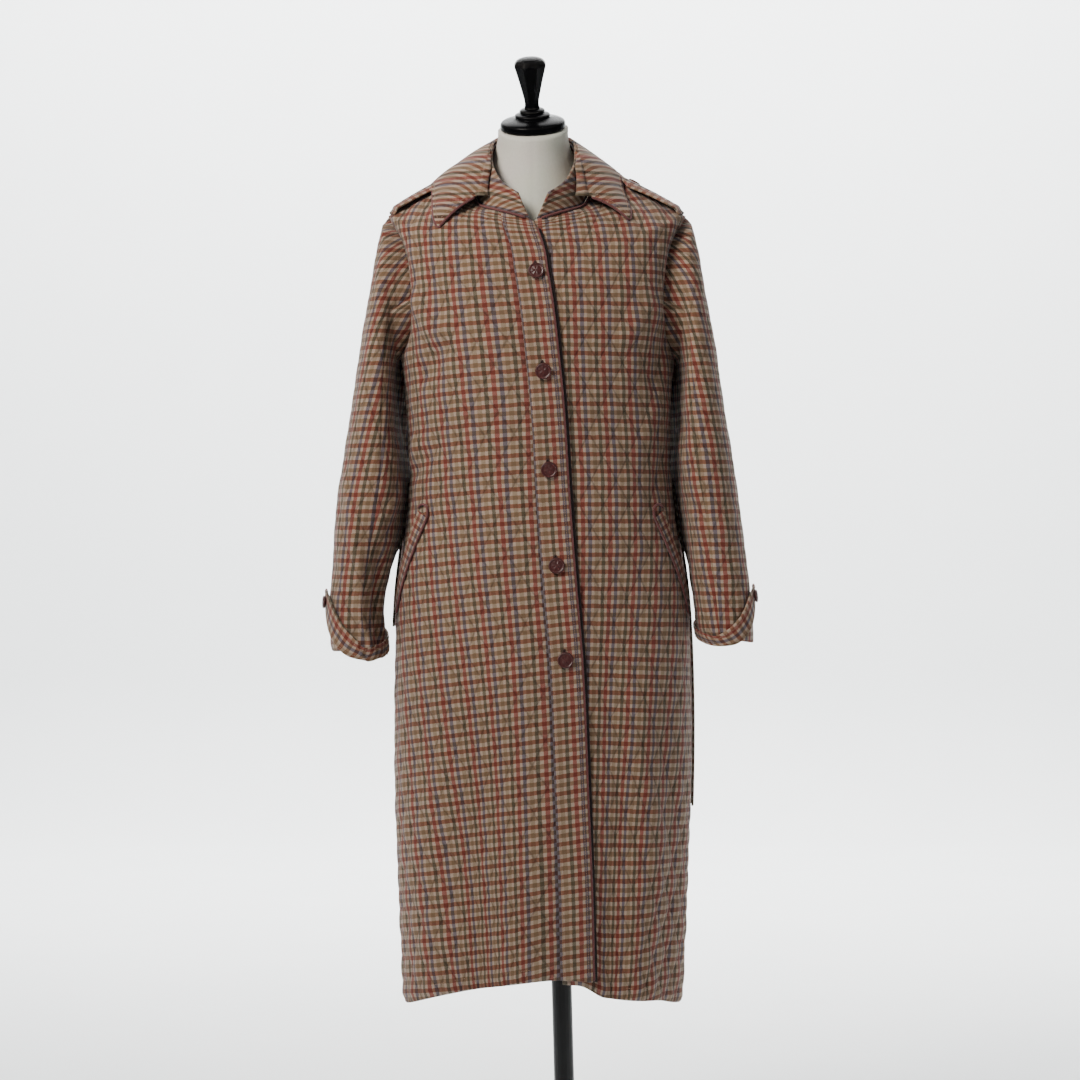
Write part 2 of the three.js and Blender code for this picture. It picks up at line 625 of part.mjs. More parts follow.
// Epaulettes lie along the shoulder seams, from the sleeve seam to a point under the leaf.
for (const [word, side] of [['right', RIGHT], ['left', LEFT]]) {
  const place = (u, v) => {
    const half = mix(23, 19, v) * (v > 0.85 ? mix(1, 0.25, (v - 0.85) / 0.15) : 1);
    return besideSeam(side, mix(-half, half, u), mix(TIP_RISE + 4, 1210, v));
  };
  add(`${word}_epaulette`, strip({
    point: (u, v) => place(u, v).point, normal: (u, v) => place(u, v).normal,
    columns: 4, rows: 7, off: QUILT_RISE + 0.4,
  }), CHECK_CLOTH);
}

// Pocket welts slant down from the front to the side seam.
const POCKET = { topDistance: 88, topZ: 955, footDistance: 22, footZ: 812, halfWidth: 10 };
function pocketPlace(side, along, across) {
  const down = vec(POCKET.topDistance - POCKET.footDistance, 0, POCKET.footZ - POCKET.topZ);
  const over = vec(-down.z, 0, down.x).normalize().multiplyScalar(across);
  return sidePlace(side, -POCKET.topDistance + down.x * along - over.x, POCKET.topZ + down.z * along - over.z);
}
for (const [word, side] of [['right', RIGHT], ['left', LEFT]]) {
  const place = (u, v) => pocketPlace(side, v, mix(-POCKET.halfWidth, POCKET.halfWidth, u));
  add(`${word}_pocket_welt`, strip({
    point: (u, v) => place(u, v).point, normal: (u, v) => place(u, v).normal,
    columns: 2, rows: 8, wall: 2, off: QUILT_RISE + 0.9,
  }), CHECK_CLOTH);
  const beside = POCKET.halfWidth + BESIDE + 0.2;
  const edge = [...steps(8, t => [1 - t, beside]), ...steps(4, t => {
    const turn = Math.PI * (t + 0.2) / 1.2;
    return [-beside * Math.sin(turn) / 158 - 0.01, beside * Math.cos(turn)];
  })];
  piping(`${word}_pocket_piping`, edge.map(([along, across]) => {
    const at = pocketPlace(side, along, across);
    at.point.addScaledVector(at.normal, QUILT_RISE + 0.5 + PIPING_RADIUS);
    return at;
  }));
}

// Loose cuff straps go round the sleeve from a buttoned tip at its outer side and hang at the front.
const STRAP = table(['turn', 'v', 'off'], [
  [-0.03, 15.1, 7], [0.06, 16, 5], [0.16, 17.6, 5], [0.27, 18.9, 6],
  [0.4, 18.9, 2.6], [0.55, 18.2, 2.4], [0.72, 17.4, 3], [0.9, 17, 3],
]);
const STRAP_HALF = 0.42;
const strapPlace = (rows, side, along, across) => {
  const turn = mix(-0.03, 0.9, along);
  const v = read(STRAP, 'turn', 'v', turn) + across;
  const angle = 2 * Math.PI * turn;
  return {
    point: sleevePoint(rows, side, angle, v).addScaledVector(
      sleeveNormal(rows, side, angle, v), read(STRAP, 'turn', 'off', turn)),
    normal: sleeveNormal(rows, side, angle, v),
  };
};
for (const [word, side] of [['right', RIGHT], ['left', LEFT]]) {
  const place = (u, v) => strapPlace(SLEEVES[word], side, v, mix(-STRAP_HALF, STRAP_HALF, u));
  add(`${word}_cuff_strap`, strip({
    point: (u, v) => place(u, v).point, normal: (u, v) => place(u, v).normal,
    columns: 2, rows: 18,
  }), CHECK_CLOTH);
}

// Belt: one band from its right end, up to the waist, across the back and down to its left end.
const BELT = { hang: 23, bend: 24, rightEndZ: 789, leftEndZ: 538, off: QUILT_RISE + 1.4 };
const backWidth = 2 * evenAngles(a => bodyPoint(BACK, RIGHT, WAIST_Z - 268, a), 0, QUARTER, 24).length;
function beltPlace(l, across) {
  const rightRun = WAIST_Z - BELT.bend - BELT.rightEndZ;
  const leftRun = WAIST_Z - BELT.bend - BELT.leftEndZ;
  const arc = BELT.bend * QUARTER;
  const middle = backWidth - 2 * (BELT.hang + BELT.bend);
  const half = [[rightRun, BELT.rightEndZ], [leftRun, BELT.leftEndZ]];
  const total = rightRun + leftRun + 2 * arc + middle;
  let at = l * total;
  const side = at < rightRun + arc + middle / 2 ? RIGHT : LEFT;
  if (side === LEFT) at = total - at;
  const [run, endZ] = half[side === RIGHT ? 0 : 1];
  if (at <= run) return sidePlace(side, BELT.hang - across, endZ + at);
  if (at <= run + arc) {
    const turn = (at - run) / BELT.bend;
    const radius = BELT.bend + across;
    return sidePlace(side, BELT.hang + BELT.bend - radius * Math.cos(turn),
      WAIST_Z - BELT.bend + radius * Math.sin(turn));
  }
  return sidePlace(side, BELT.hang + BELT.bend + at - run - arc, WAIST_Z + across);
}
add('belt', strip({
  point: (u, v) => beltPlace(v, mix(-BELT_WIDTH / 2, BELT_WIDTH / 2, u)).point,
  normal: (u, v) => beltPlace(v, mix(-BELT_WIDTH / 2, BELT_WIDTH / 2, u)).normal,
  columns: 2, rows: 46, off: BELT.off,
}), CHECK_CLOTH);

const LOOP = table(['up', 'off'], [
  [-30, -0.4], [-25.5, -0.2], [-22, 4.4], [0, 4.4], [22, 4.4], [25.5, -0.2], [30, -0.4],
]);
for (const [word, side] of [['right', RIGHT], ['left', LEFT]]) {
  const place = (u, row) => {
    const at = sidePlace(side, mix(52, 62, u), WAIST_Z + LOOP[row].up);
    at.point.addScaledVector(at.normal, QUILT_RISE + LOOP[row].off);
    return at;
  };
  add(`${word}_belt_loop`, strip({
    point: (u, v) => place(u, Math.round(v * 6)).point,
    normal: (u, v) => place(u, Math.round(v * 6)).normal,
    columns: 1, rows: 6, wall: 2,
  }), CHECK_CLOTH);
}

// Buttons: a rim round a low dome.
function buttonGeometry(radius, height) {
  const profile = [[0, 0], [radius - 1, 0], [radius, 1.2], [radius - 1, height],
    [radius - 2.6, height * 0.75], [0, height]];
  return new THREE.LatheGeometry(profile.map(([x, y]) => new THREE.Vector2(x, y)), 14);
}
function addButton(name, radius, place, off) {
  const mesh = add(name, buttonGeometry(radius, BUTTON_HEIGHT), BUTTON_PLASTIC);
  mesh.position.copy(place.point).addScaledVector(place.normal, off);
  mesh.quaternion.setFromUnitVectors(vec(0, 1, 0), place.normal);
}
const FRONT_BUTTONS = table(['x', 'z'], [
  [-43, 1274], [-33.7, 1138], [-26.3, 1005], [-16.2, 875], [-4.7, 748],
]);
FRONT_BUTTONS.forEach(({ x, z }, k) => {
  addButton(`front_button_${k + 1}`, BUTTON_RADIUS, frontPlace(RIGHT, x, z, true), QUILT_RISE - 0.5);
});
for (const [word, side, rise] of [['right', RIGHT, 1207], ['left', LEFT, 1190]]) {
  addButton(`${word}_epaulette_button`, SMALL_BUTTON_RADIUS, besideSeam(side, 0, rise),
    QUILT_RISE + 0.4 + TRIM_WALL + 0.4);
  addButton(`${word}_cuff_button`, SMALL_BUTTON_RADIUS, strapPlace(SLEEVES[word], side, 0.09, 0),
    TRIM_WALL + 0.5);
}
const standEnd = { point: standPoint(0.03, 0.78), normal: standNormal(0.03, 0.78).negate() };
addButton('collar_button', 6, standEnd, TRIM_WALL + 1.2);

// Dress form. Where "rise" is given, the shoulder lies under the coat's own shoulder seam.
const FORM = table(
  ['rise', 'centreX', 'half', 'sideY', 'sideZ', 'frontY', 'frontZ', 'backY', 'backZ', 'tilt'],
  [
    [0, POLE_TOP_X, 150, 0, FORM_BOTTOM_Z, -92, FORM_BOTTOM_Z, 92, FORM_BOTTOM_Z],
    [0, -22, 166, 0, 785, -106, 785, 104, 785], [0, -28, 168, 0, 860, -110, 860, 106, 860],
    [0, -34, 128, 0, 1000, -90, 1000, 80, 1000], [0, -38, 132, 0, 1090, -98, 1090, 88, 1090],
    [0, -41, 150, 0, 1180, -116, 1172, 98, 1185], [0, -42, 156, 0, 1250, -110, 1232, 100, 1260],
    [0, -42, 172, 0, 1320, -96, 1276, 96, 1330],
    [1130, 0, 0, 0, 0, -88, 1298, 90, 1378], [1155, 0, 0, 0, 0, -86, 1310, 84, 1396],
    [1200, 0, 0, 0, 0, -82, 1326, 74, 1418], [1234, 0, 0, 0, 0, -80, 1340, 62, 1430],
    [0, -47, 63, 5, 1439, -70, 1370, 54, 1452], [0, -47.5, 54, 2, 1454, -61, 1408, 50, 1470],
    [0, -47.5, 49.5, -4, 1470, -57, 1440, 46, 1488],
    [0, -47.5, 49, -9, 1484, -58, 1465, 40, 1503, 0.05],
  ]);
const FORM_COLUMNS = 28;
function formRing(row) {
  const ring = { ...row };
  if (row.rise) {
    const seam = bodyPoint(FRONT, LEFT, row.rise, QUARTER);
    seam.addScaledVector(bodyNormal(FRONT, LEFT, row.rise, QUARTER), -COAT_WALL - REST_GAP);
    ring.centreX = read(BODY, 'rise', 'centreX', row.rise);
    ring.half = seam.x - ring.centreX;
    ring.sideY = seam.y;
    ring.sideZ = seam.z;
  }
  return Array.from({ length: FORM_COLUMNS }, (_, k) => {
    const angle = 2 * Math.PI * k / FORM_COLUMNS;
    const front = Math.cos(angle) > 0;
    const share = Math.abs(Math.cos(angle));
    const shareZ = row.rise && !front ? share ** 2 : share;
    const offset = ring.half * Math.sin(angle);
    return vec(ring.centreX + offset, mix(ring.sideY, front ? ring.frontY : ring.backY, share),
      mix(ring.sideZ, front ? ring.frontZ : ring.backZ, shareZ) + (row.tilt || 0) * offset);
  });
}

// A closed solid through rings of points, with flat ends.
function loftGeometry(rings) {
  const points = [];
  const faces = [];
  const count = rings[0].length;
  for (const ring of rings) for (const p of ring) points.push(p.x, p.y, p.z);
  for (let j = 0; j < rings.length - 1; j += 1) {
    for (let i = 0; i < count; i += 1) {
      const [a, b] = [j * count + i, j * count + (i + 1) % count];
      faces.push(a, b, b + count, a, b + count, a + count);
    }
  }
  for (const [j, turned] of [[0, true], [rings.length - 1, false]]) {
    const middle = rings[j].reduce((sum, p) => sum.add(p), vec(0, 0, 0)).divideScalar(count);
    const centre = points.push(middle.x, middle.y, middle.z) / 3 - 1;
    for (let i = 0; i < count; i += 1) {
      const [a, b] = [j * count + i, j * count + (i + 1) % count];
      faces.push(...(turned ? [b, a, centre] : [a, b, centre]));
    }
  }
  return closedGeometry(points, faces);
}
add('form_torso', loftGeometry(FORM.map(formRing)), CANVAS);

const circle = (x, y, z, radius, count) => Array.from({ length: count }, (_, k) => {
  const angle = 2 * Math.PI * k / count;
  return vec(x + radius * Math.sin(angle), y + radius * Math.cos(angle), z);
});
const poleX = z => POLE_TOP_X * z / FORM_BOTTOM_Z;
const poleEnds = [BASE_HEIGHT + SEAM_GAP, FORM_BOTTOM_Z - SEAM_GAP];
add('stand_pole', loftGeometry(poleEnds.map(z => circle(poleX(z), 0, z, POLE_RADIUS, 20))), BLACK_STEEL);

function turned(name, profile, segments, material) {
  const shape = new THREE.LatheGeometry(profile.map(([x, y]) => new THREE.Vector2(x, y)), segments);
  shape.rotateX(QUARTER);
  return add(name, shape, material);
}
turned('stand_base', [[0, 0], [BASE_RADIUS - 2, 0], [BASE_RADIUS, 3], [BASE_RADIUS, 9], [BASE_RADIUS - 7, 14],
  [60, 26], [24, 31], [21, BASE_HEIGHT], [0, BASE_HEIGHT]], 30, BLACK_STEEL);

// Neck cap and finial sit square on the neck's slanted top.
const NECK_SLANT = Math.atan2(1503 - 1465, 40 + 58);
const neckTop = vec(-47.5, -9, 1484);
const cap = turned('neck_cap', [[0, 0], [44, 0], [45.5, 2.5], [45.5, 8], [42, 12], [30, 15], [24.5, 16],
  [24.5, 20], [20, 22], [16.5, 24], [16.5, 27], [12, 29], [0, 29]], 22, BLACK_LACQUER);
const finial = turned('finial', [[0, 29.3], [11.5, 29.3], [10.5, 35], [12, 44], [23.5, 90], [22, 96],
  [12, 100], [0, 101]], 8, BLACK_LACQUER);
for (const mesh of [cap, finial]) {
  mesh.rotation.set(NECK_SLANT, -0.05, 0, 'YXZ');
  mesh.position.copy(neckTop).add(vec(0, 0, SEAM_GAP + 0.2).applyEuler(mesh.rotation));
}

export default group;
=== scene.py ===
# A long check coat, diamond quilted, buttoned right over left on a limbless dress form.
# Metres, +Z up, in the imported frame. Tables and cloth sizes are in millimetres. The coat faces -Y.
import math

import bmesh
import bpy
import numpy as np
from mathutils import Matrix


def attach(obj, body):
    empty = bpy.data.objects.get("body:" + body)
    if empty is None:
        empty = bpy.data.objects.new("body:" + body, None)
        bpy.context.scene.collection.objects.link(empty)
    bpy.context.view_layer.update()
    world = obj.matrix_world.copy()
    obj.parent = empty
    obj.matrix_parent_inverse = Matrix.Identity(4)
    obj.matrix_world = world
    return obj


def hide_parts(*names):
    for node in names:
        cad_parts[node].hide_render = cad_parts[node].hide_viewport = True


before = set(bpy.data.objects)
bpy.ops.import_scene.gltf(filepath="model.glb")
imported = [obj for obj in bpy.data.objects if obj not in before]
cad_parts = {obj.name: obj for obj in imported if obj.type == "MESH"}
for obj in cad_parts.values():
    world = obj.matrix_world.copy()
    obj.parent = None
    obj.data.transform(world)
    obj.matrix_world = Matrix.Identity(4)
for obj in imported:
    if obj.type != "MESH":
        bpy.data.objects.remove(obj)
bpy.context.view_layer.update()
MM = 0.001

# Camera, light and floor. The photo looks level at the coat's front from about four metres, in soft
# light that is stronger from its left, before a near-white wall that meets a pale floor.
SENSOR_WIDE, CAMERA_AWAY, PHOTO_WIDE = 36, 4000, 1512
camera_data = bpy.data.cameras.new("photo_camera")
camera_data.sensor_width = SENSOR_WIDE
camera_data.lens = SENSOR_WIDE * CAMERA_AWAY / PHOTO_WIDE
camera_data.clip_end = 60
camera = bpy.data.objects.new("photo_camera", camera_data)
camera.location = (-0.0378, -4.0, 0.910)
camera.rotation_euler = (math.radians(90), 0, 0)
bpy.context.collection.objects.link(camera)
bpy.context.scene.camera = camera


def linear(code):
    """One sRGB hex colour as Blender's linear red, green, blue and alpha."""
    channels = [int(code[i:i + 2], 16) / 255 for i in (1, 3, 5)]
    return tuple(c / 12.92 if c <= 0.04045 else ((c + 0.055) / 1.055) ** 2.4 for c in channels) + (1.0,)


def plug(tree, owner, **links):
    """Sets or links inputs by name or number. A node stands for its own first output."""
    for name, value in links.items():
        target = owner.inputs[int(name[1:]) if name[0] == "_" else name.replace("__", " ")]
        value = value.outputs[0] if isinstance(value, bpy.types.Node) else value
        if isinstance(value, bpy.types.NodeSocket):
            tree.links.new(value, target)
        else:
            target.default_value = value


def node(tree, kind, settings=None, **links):
    """Adds a node to a tree, sets its properties and plugs its inputs."""
    new = tree.nodes.new(kind)
    for name, value in (settings or {}).items():
        setattr(new, name, value)
    plug(tree, new, **links)
    return new


BLEND, MULTIPLIED = {"data_type": "RGBA"}, {"data_type": "RGBA", "blend_type": "MULTIPLY"}


def new_material(name):
    """An empty node material, with its tree and its Principled shader."""
    material = bpy.data.materials.new(name)
    material.use_nodes = True
    return material, material.node_tree, material.node_tree.nodes["Principled BSDF"]


def toned_material(name, low, high, scale, detail, roughness, uv_map=None):
    """A finish that drifts between two colours, with its tree, shader, place, noise and tone."""
    material, tree, shader = new_material(name)
    if uv_map:
        place = node(tree, "ShaderNodeUVMap", {"uv_map": uv_map}).outputs[0]
    else:
        place = node(tree, "ShaderNodeTexCoord").outputs["Object"]
    noise = node(tree, "ShaderNodeTexNoise", Vector=place, Scale=scale, Detail=detail)
    tone = node(tree, "ShaderNodeMix", BLEND, Factor=noise, _6=linear(low), _7=linear(high))
    if isinstance(roughness, tuple):
        roughness = node(tree, "ShaderNodeMapRange", Value=noise, To__Min=roughness[0], To__Max=roughness[1])
    plug(tree, shader, Base__Color=tone.outputs[2], Roughness=roughness)
    return material, tree, shader, place, noise, tone


# Painted plaster and concrete, rolled on, so it is matt with a faint mottle.
stage_paint = toned_material("rolled_white_paint", "#eceff0", "#f3f5f5", 3.0, 4.0, 0.9)[0]


def mesh_object(name, points, faces, material, smooth=True, uv=None):
    """A mesh object from points in millimetres. uv gives each point its place in the flat cloth."""
    # A piece can't share the name of the solid that it stands for.
    name = f"{name}_made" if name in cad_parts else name
    mesh = bpy.data.meshes.new(name)
    mesh.from_pydata((np.asarray(points, float) * MM).tolist(), [], [list(f) for f in faces])
    mesh.validate()
    if uv is not None:
        corners = np.empty(len(mesh.loops), np.int32)
        mesh.loops.foreach_get("vertex_index", corners)
        layer = mesh.uv_layers.new(name="cloth_mm")
        layer.data.foreach_set("uv", np.asarray(uv, np.float32)[corners].ravel())
    mesh.polygons.foreach_set("use_smooth", [smooth] * len(mesh.polygons))
    mesh.materials.append(material)
    made = bpy.data.objects.new(name, mesh)
    bpy.context.collection.objects.link(made)
    return made


# The floor turns up into the wall in a wide curve, far behind the stand.
STAGE_HALF, FLOOR_DROP, COVE_START, COVE_RADIUS, WALL_TOP = 9000, 1, 4400, 500, 6500
profile = [(-STAGE_HALF, -FLOOR_DROP)]
profile += [(COVE_START + COVE_RADIUS * math.sin(a), COVE_RADIUS - COVE_RADIUS * math.cos(a) - FLOOR_DROP)
            for a in np.linspace(0, math.pi / 2, 10)]
profile += [(COVE_START + COVE_RADIUS, WALL_TOP)]
edges = [(x, y, z) for y, z in profile for x in (-STAGE_HALF, STAGE_HALF)]
bands = [(2 * i, 2 * i + 1, 2 * i + 3, 2 * i + 2) for i in range(len(profile) - 1)]
backdrop = mesh_object("backdrop", edges, bands, stage_paint)


def area_light(name, place_at, aim, size, watts, colour):
    """A soft rectangular light, turned to a place that it shines on."""
    data = bpy.data.lights.new(name, "AREA")
    data.shape = "RECTANGLE"
    data.size, data.size_y = size
    data.energy = watts
    data.color = linear(colour)[:3]
    lamp = bpy.data.objects.new(name, data)
    bpy.context.collection.objects.link(lamp)
    lamp.location = place_at
    away = np.subtract(aim, place_at)
    away = away / np.linalg.norm(away)
    lamp.rotation_euler = (math.acos(-away[2]), 0, math.atan2(away[1], away[0]) - math.pi / 2)
    return lamp


window = area_light("window", (-1.9, -2.2, 3.1), (0, 0, 1.5), (1.4, 1.4), 27, "#fffaf2")
# A narrower window: what it lights falls off from the shoulders to the hem.
window.data.spread = math.radians(70)
area_light("room", (2.6, -3.4, 2.2), (0, 0, 0.9), (2.4, 2.0), 6.5, "#f3f7ff")
area_light("ceiling", (0, 2.7, 4.3), (0, 3.6, 0), (5.0, 4.0), 290, "#ffffff")
area_light("wall_wash", (0, 2.9, 3.7), (0, 4.8, 1.0), (6.0, 1.0), 490, "#ffffff")
world = bpy.data.worlds.new("soft_room")
world.use_nodes = True
plug(world.node_tree, world.node_tree.nodes["Background"], Color=linear("#eef2f5"), Strength=0.25)
bpy.context.scene.world = world

# Base and pole. A round base of pressed steel, powder coated satin black, with a steel tube rising
# from its socket. The solids are right, so only their finish is new.
powder_coat, tree, shader, place, *_ = toned_material(
    "satin_black_powder_coat", "#060607", "#101012", 14.0, 6.0, (0.34, 0.55))
# Powder coat has a fine orange peel, drawn at 2 mm so that it shows.
peel = node(tree, "ShaderNodeTexNoise", Vector=place, Scale=500.0, Detail=2.0)
bump = node(tree, "ShaderNodeBump", Height=peel, Strength=0.15, Distance=0.0004)
plug(tree, shader, Normal=bump, Specular__IOR__Level=0.36)
for name in ("stand_pole", "stand_base"):
    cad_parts[name].data.materials.clear()
    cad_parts[name].data.materials.append(powder_coat)


# Shape of the coat's body. One surface of levels from the hem to the neck, as the coat hangs on the
# form, with the soft folds of its cloth. The pieces sewn or laid on it take their places from it.
def table(columns, rows):
    """Rows of numbers as one array for each named column. A short row ends in zeros."""
    return {name: np.array([row[i] if i < len(row) else 0 for row in rows], float)
            for i, name in enumerate(columns.split())}


def read(rows, along, name, at):
    """One column of a table at any places, smooth through its rows, sharp at a row marked corner."""
    x, y = rows[along], rows[name]
    corner = rows.get("corner", np.zeros(len(x)))
    at = np.atleast_1d(np.asarray(at, float))
    i = np.clip(np.searchsorted(x, at, side="left") - 1, 0, len(x) - 2)
    last = len(x) - 1

    def slope(k, start):
        a = np.where((corner[k] > 0) & start, k, np.maximum(k - 1, 0))
        b = np.where((corner[k] > 0) & ~start, k, np.minimum(k + 1, last))
        return (y[b] - y[a]) / (x[b] - x[a])

    low, high = slope(i, np.ones(len(i), bool)), slope(i + 1, np.zeros(len(i), bool))
    span = x[i + 1] - x[i]
    t = (at - x[i]) / span
    h = t * t * (3 - 2 * t)
    inside = y[i] + (y[i + 1] - y[i]) * h + span * t * (1 - t) * ((1 - t) * low - t * high)
    value = np.where(t < 0, y[i] + low * span * t, inside)
    return np.where(t > 1, y[i + 1] + high * span * (t - 1), value)


def step(t):
    """A smooth rise from 0 to 1, while t does the same."""
    c = np.clip(t, 0, 1)
    return c * c * (3 - 2 * c)


def power(value, exponent):
    """A power that keeps the value's sign."""
    return np.sign(value) * np.abs(value) ** exponent


QUARTER = math.pi / 2
HEM_Z, NECK_RISE, TIP_RISE, UNDERARM_RISE = 268, 1245, 1110, 897
BODY = table(
    "rise centreX sideZ frontHalf frontEndY backHalf backEndY frontZ frontY backZ backY neck corner", [
        [0, -33, 268, 193, 0, 193, 0, 312, -150, 262, 138, 0],
        [140, -33.5, 408, 199, 0, 199, 0, 440, -150, 404, 140, 0],
        [280, -34, 548, 205, 0, 205, 0, 562, -149, 546, 139, 0],
        [420, -34, 688, 206, 0, 206, 0, 692, -146, 688, 133, 0],
        [560, -35, 828, 201, 0, 201, 0, 830, -140, 828, 122, 0],
        [720, -37, 988, 182, 0, 182, 0, 988, -129, 988, 108, 0],
        [830, -40, 1098, 184, 0, 184, 0, 1098, -133, 1098, 113, 0],
        [897, -41, 1165, 190, 0, 190, 0, 1163, -136, 1166, 118, 0, 1],
        [930, -41, 1192, 177, -40, 182, 42, 1188, -135, 1198, 119, 0],
        [990, -41, 1252, 173, -54, 178, 52, 1232, -130, 1262, 118, 0],
        [1060, -42, 1318, 184, -38, 187, 40, 1272, -121, 1330, 112, 0],
        [1110, -42, 1362, 207, 0, 207, 0, 1300, -112, 1376, 104, 0, 1],
        [1155, -44, 1386, 168, 3, 168, 3, 1318, -106, 1402, 96, 0.2],
        [1200, -46, 1410, 127, 5, 127, 5, 1332, -100, 1426, 86, 0.6],
        [1245, -47, 1435, 84, 8, 84, 8, 1345, -95, 1450, 74, 1],
    ])
COAT_WALL = 3.2
ROUNDNESS = 0.9
FRONT, BACK, RIGHT, LEFT = -1, 1, -1, 1
SIDES = (("right", RIGHT), ("left", LEFT))

# Soft folds as they hang in the photo, each a ridge or a trough from one point to another. A skewed
# one has a sharper flank on one side. The back has the same kinds, as cloth does over a form.
FOLDS = table("face x1 z1 x2 z2 width height skew", [
    [-1, -222, 1268, -168, 1176, 17, 6, 0.8], [-1, -182, 1196, -206, 1120, 16, -6, -0.6],
    [-1, -150, 1215, -196, 1150, 12, 3.5, 0.4], [-1, -196, 1060, -214, 1004, 14, 4, 0.5],
    [-1, -160, 1048, -214, 985, 13, -3.5, 0.4], [-1, -120, 1010, -196, 950, 20, 2.5, -0.3],
    [-1, 132, 1262, 58, 1176, 18, 5, -0.6], [-1, 146, 1224, 116, 1110, 16, -6, 0.7],
    [-1, 128, 1130, 92, 1020, 18, 3, -0.5], [-1, 138, 1040, 122, 960, 12, -3, 0.4],
    [-1, -152, 820, -192, 300, 30, 6, 0.3], [-1, -96, 760, -120, 290, 26, -5, 0.2],
    [-1, -38, 640, -52, 300, 30, 4, 0.2], [-1, 74, 900, 66, 290, 20, -4, 0.5],
    [-1, 104, 800, 92, 290, 24, 6, -0.5], [-1, 142, 740, 148, 280, 18, -5, 0.4],
    [-1, 14, 560, 30, 290, 26, 3, 0.3], [-1, -70, 1040, -58, 930, 26, 2.0, 0.2],
    [1, -150, 820, -160, 270, 30, 6, 0.3], [1, -70, 930, -82, 270, 24, -6, 0.5],
    [1, 10, 820, 6, 270, 34, 6, -0.3], [1, 92, 900, 98, 270, 24, -5, 0.4],
    [1, -128, 1262, -44, 1090, 26, 4, 0.4], [1, 74, 1254, 0, 1090, 24, 4, -0.4],
    [1, -180, 1080, -110, 1000, 14, 3, 0.5], [1, 110, 1080, 60, 1000, 14, 3, -0.5],
    [1, -30, 960, -36, 600, 20, -4, 0.4], [1, 50, 960, 46, 560, 16, 4, 0.4],
])


def wander(x, z, seed):
    """Slow unevenness of hanging cloth, from -1 to 1."""
    return (np.sin(x / 41 + seed) * np.sin(z / 67 + 1.7 * seed) + np.sin(x / 23 - z / 58 + 2.9 * seed)
            + 0.6 * np.sin(z / 31 + x / 77 + 0.8 * seed)) / 2.6


def fold(x, y, to_end, width, tall, skew, bend, fades_from=None):
    """Height of one fold at places from its start. It fades at both ends, or not where it meets a hem."""
    long = math.hypot(*to_end)
    along = (x * to_end[0] + y * to_end[1]) / long
    across = (x * to_end[1] - y * to_end[0]) / long / width
    sway, pitch, phase = bend
    across = across + sway * np.sin(along / pitch + phase)
    if fades_from:
        ends = step(along / (fades_from * long))
    else:
        ends = step(along / (0.35 * long)) * step((1.05 * long - along) / (0.35 * long))
    return tall * ends * np.exp(-across ** 2) * (1 + 1.3 * skew * across)


def fold_height(face, x, z):
    """All the folds of the front or the back, over the cloth's slow unevenness."""
    height = np.zeros(np.broadcast(x, z).shape)
    for k in np.flatnonzero(FOLDS["face"] == face):
        x1, z1, x2, z2, *form = (FOLDS[n][k] for n in "x1 z1 x2 z2 width height skew".split())
        to_hem = 0.5 if z2 < 320 else None
        height += fold(x - x1, z - z1, (x2 - x1, z2 - z1), *form, (0.35, 47, k), to_hem)
    return height + 1.1 * wander(x, z, 1.3 * face)


# How far the front edge lies from the centre line at each height, toward the wearer's right.
EDGE_FOOT, EDGE_TOP = 300, 1346
FRONT_EDGE = table("z offset", [
    [EDGE_FOOT, 63], [420, 61], [560, 57], [740, 50], [850, 42], [980, 34.5],
    [1100, 30], [1200, 21], [1310, 7], [EDGE_TOP, 0]])
LAP_LIFT = 8.5


def edge_offset(z):
    """The front edge's distance from the centre line at a height."""
    return read(FRONT_EDGE, "z", "offset", np.clip(np.ravel(z), EDGE_FOOT, EDGE_TOP)).reshape(np.shape(z))


def body_point(face, side, rise, angle, lifted=False, folds=True):
    """Points of the coat's body: angle 0 is the centre line, a quarter turn the side or shoulder."""
    rise, angle = np.broadcast_arrays(np.asarray(rise, float), np.asarray(angle, float))
    flat = rise.ravel()
    levels, where = np.unique(flat, return_inverse=True)
    at = lambda name: read(BODY, "rise", name, levels)[where].reshape(rise.shape)
    word = "front" if face == FRONT else "back"
    sine, cosine = power(np.sin(angle), ROUNDNESS), power(np.cos(angle), ROUNDNESS)
    plain = np.sin(angle) ** 2
    vee = 0.3 * plain ** 0.35 + 0.7 * plain ** 6
    neck = np.clip(at("neck"), 0, 1) * (face == FRONT)
    share = plain + (vee - plain) * neck
    offset = side * at(word + "Half") * sine
    x = at("centreX") + offset
    z = at(word + "Z") * (1 - share) + at("sideZ") * share
    y = at(word + "EndY") + (at(word + "Y") - at(word + "EndY")) * cosine
    out = np.zeros(rise.shape)
    if folds:
        fade = step(3 * np.cos(angle)) * step((NECK_RISE - rise) / 60)
        out = fold_height(face, x, z) * fade
    if lifted:
        # The right front lies on the left one, and comes down to the body toward its side.
        out = out + LAP_LIFT * step((offset - edge_offset(z) + 190) / 110) * step(1.2 * np.cos(angle))
    return np.stack([x + side * np.sin(angle) * out, y + face * np.abs(np.cos(angle)) * out, z], -1)


def lengths_along(points):
    """Length from the first point to each along the last-but-one axis."""
    steps = np.linalg.norm(np.diff(points, axis=-2), axis=-1)
    return np.concatenate([np.zeros(steps.shape[:-1] + (1,)), np.cumsum(steps, -1)], -1)


def even_angles(point, start, end, count):
    """Angles at even steps of length along each level, for arrays of start and end angles."""
    sample = start[:, None] + (end - start)[:, None] * np.linspace(0, 1, 97)[None]
    length = lengths_along(point(sample))
    return np.array([np.interp(np.linspace(0, l[-1], count + 1), l, s) for l, s in zip(length, sample)])


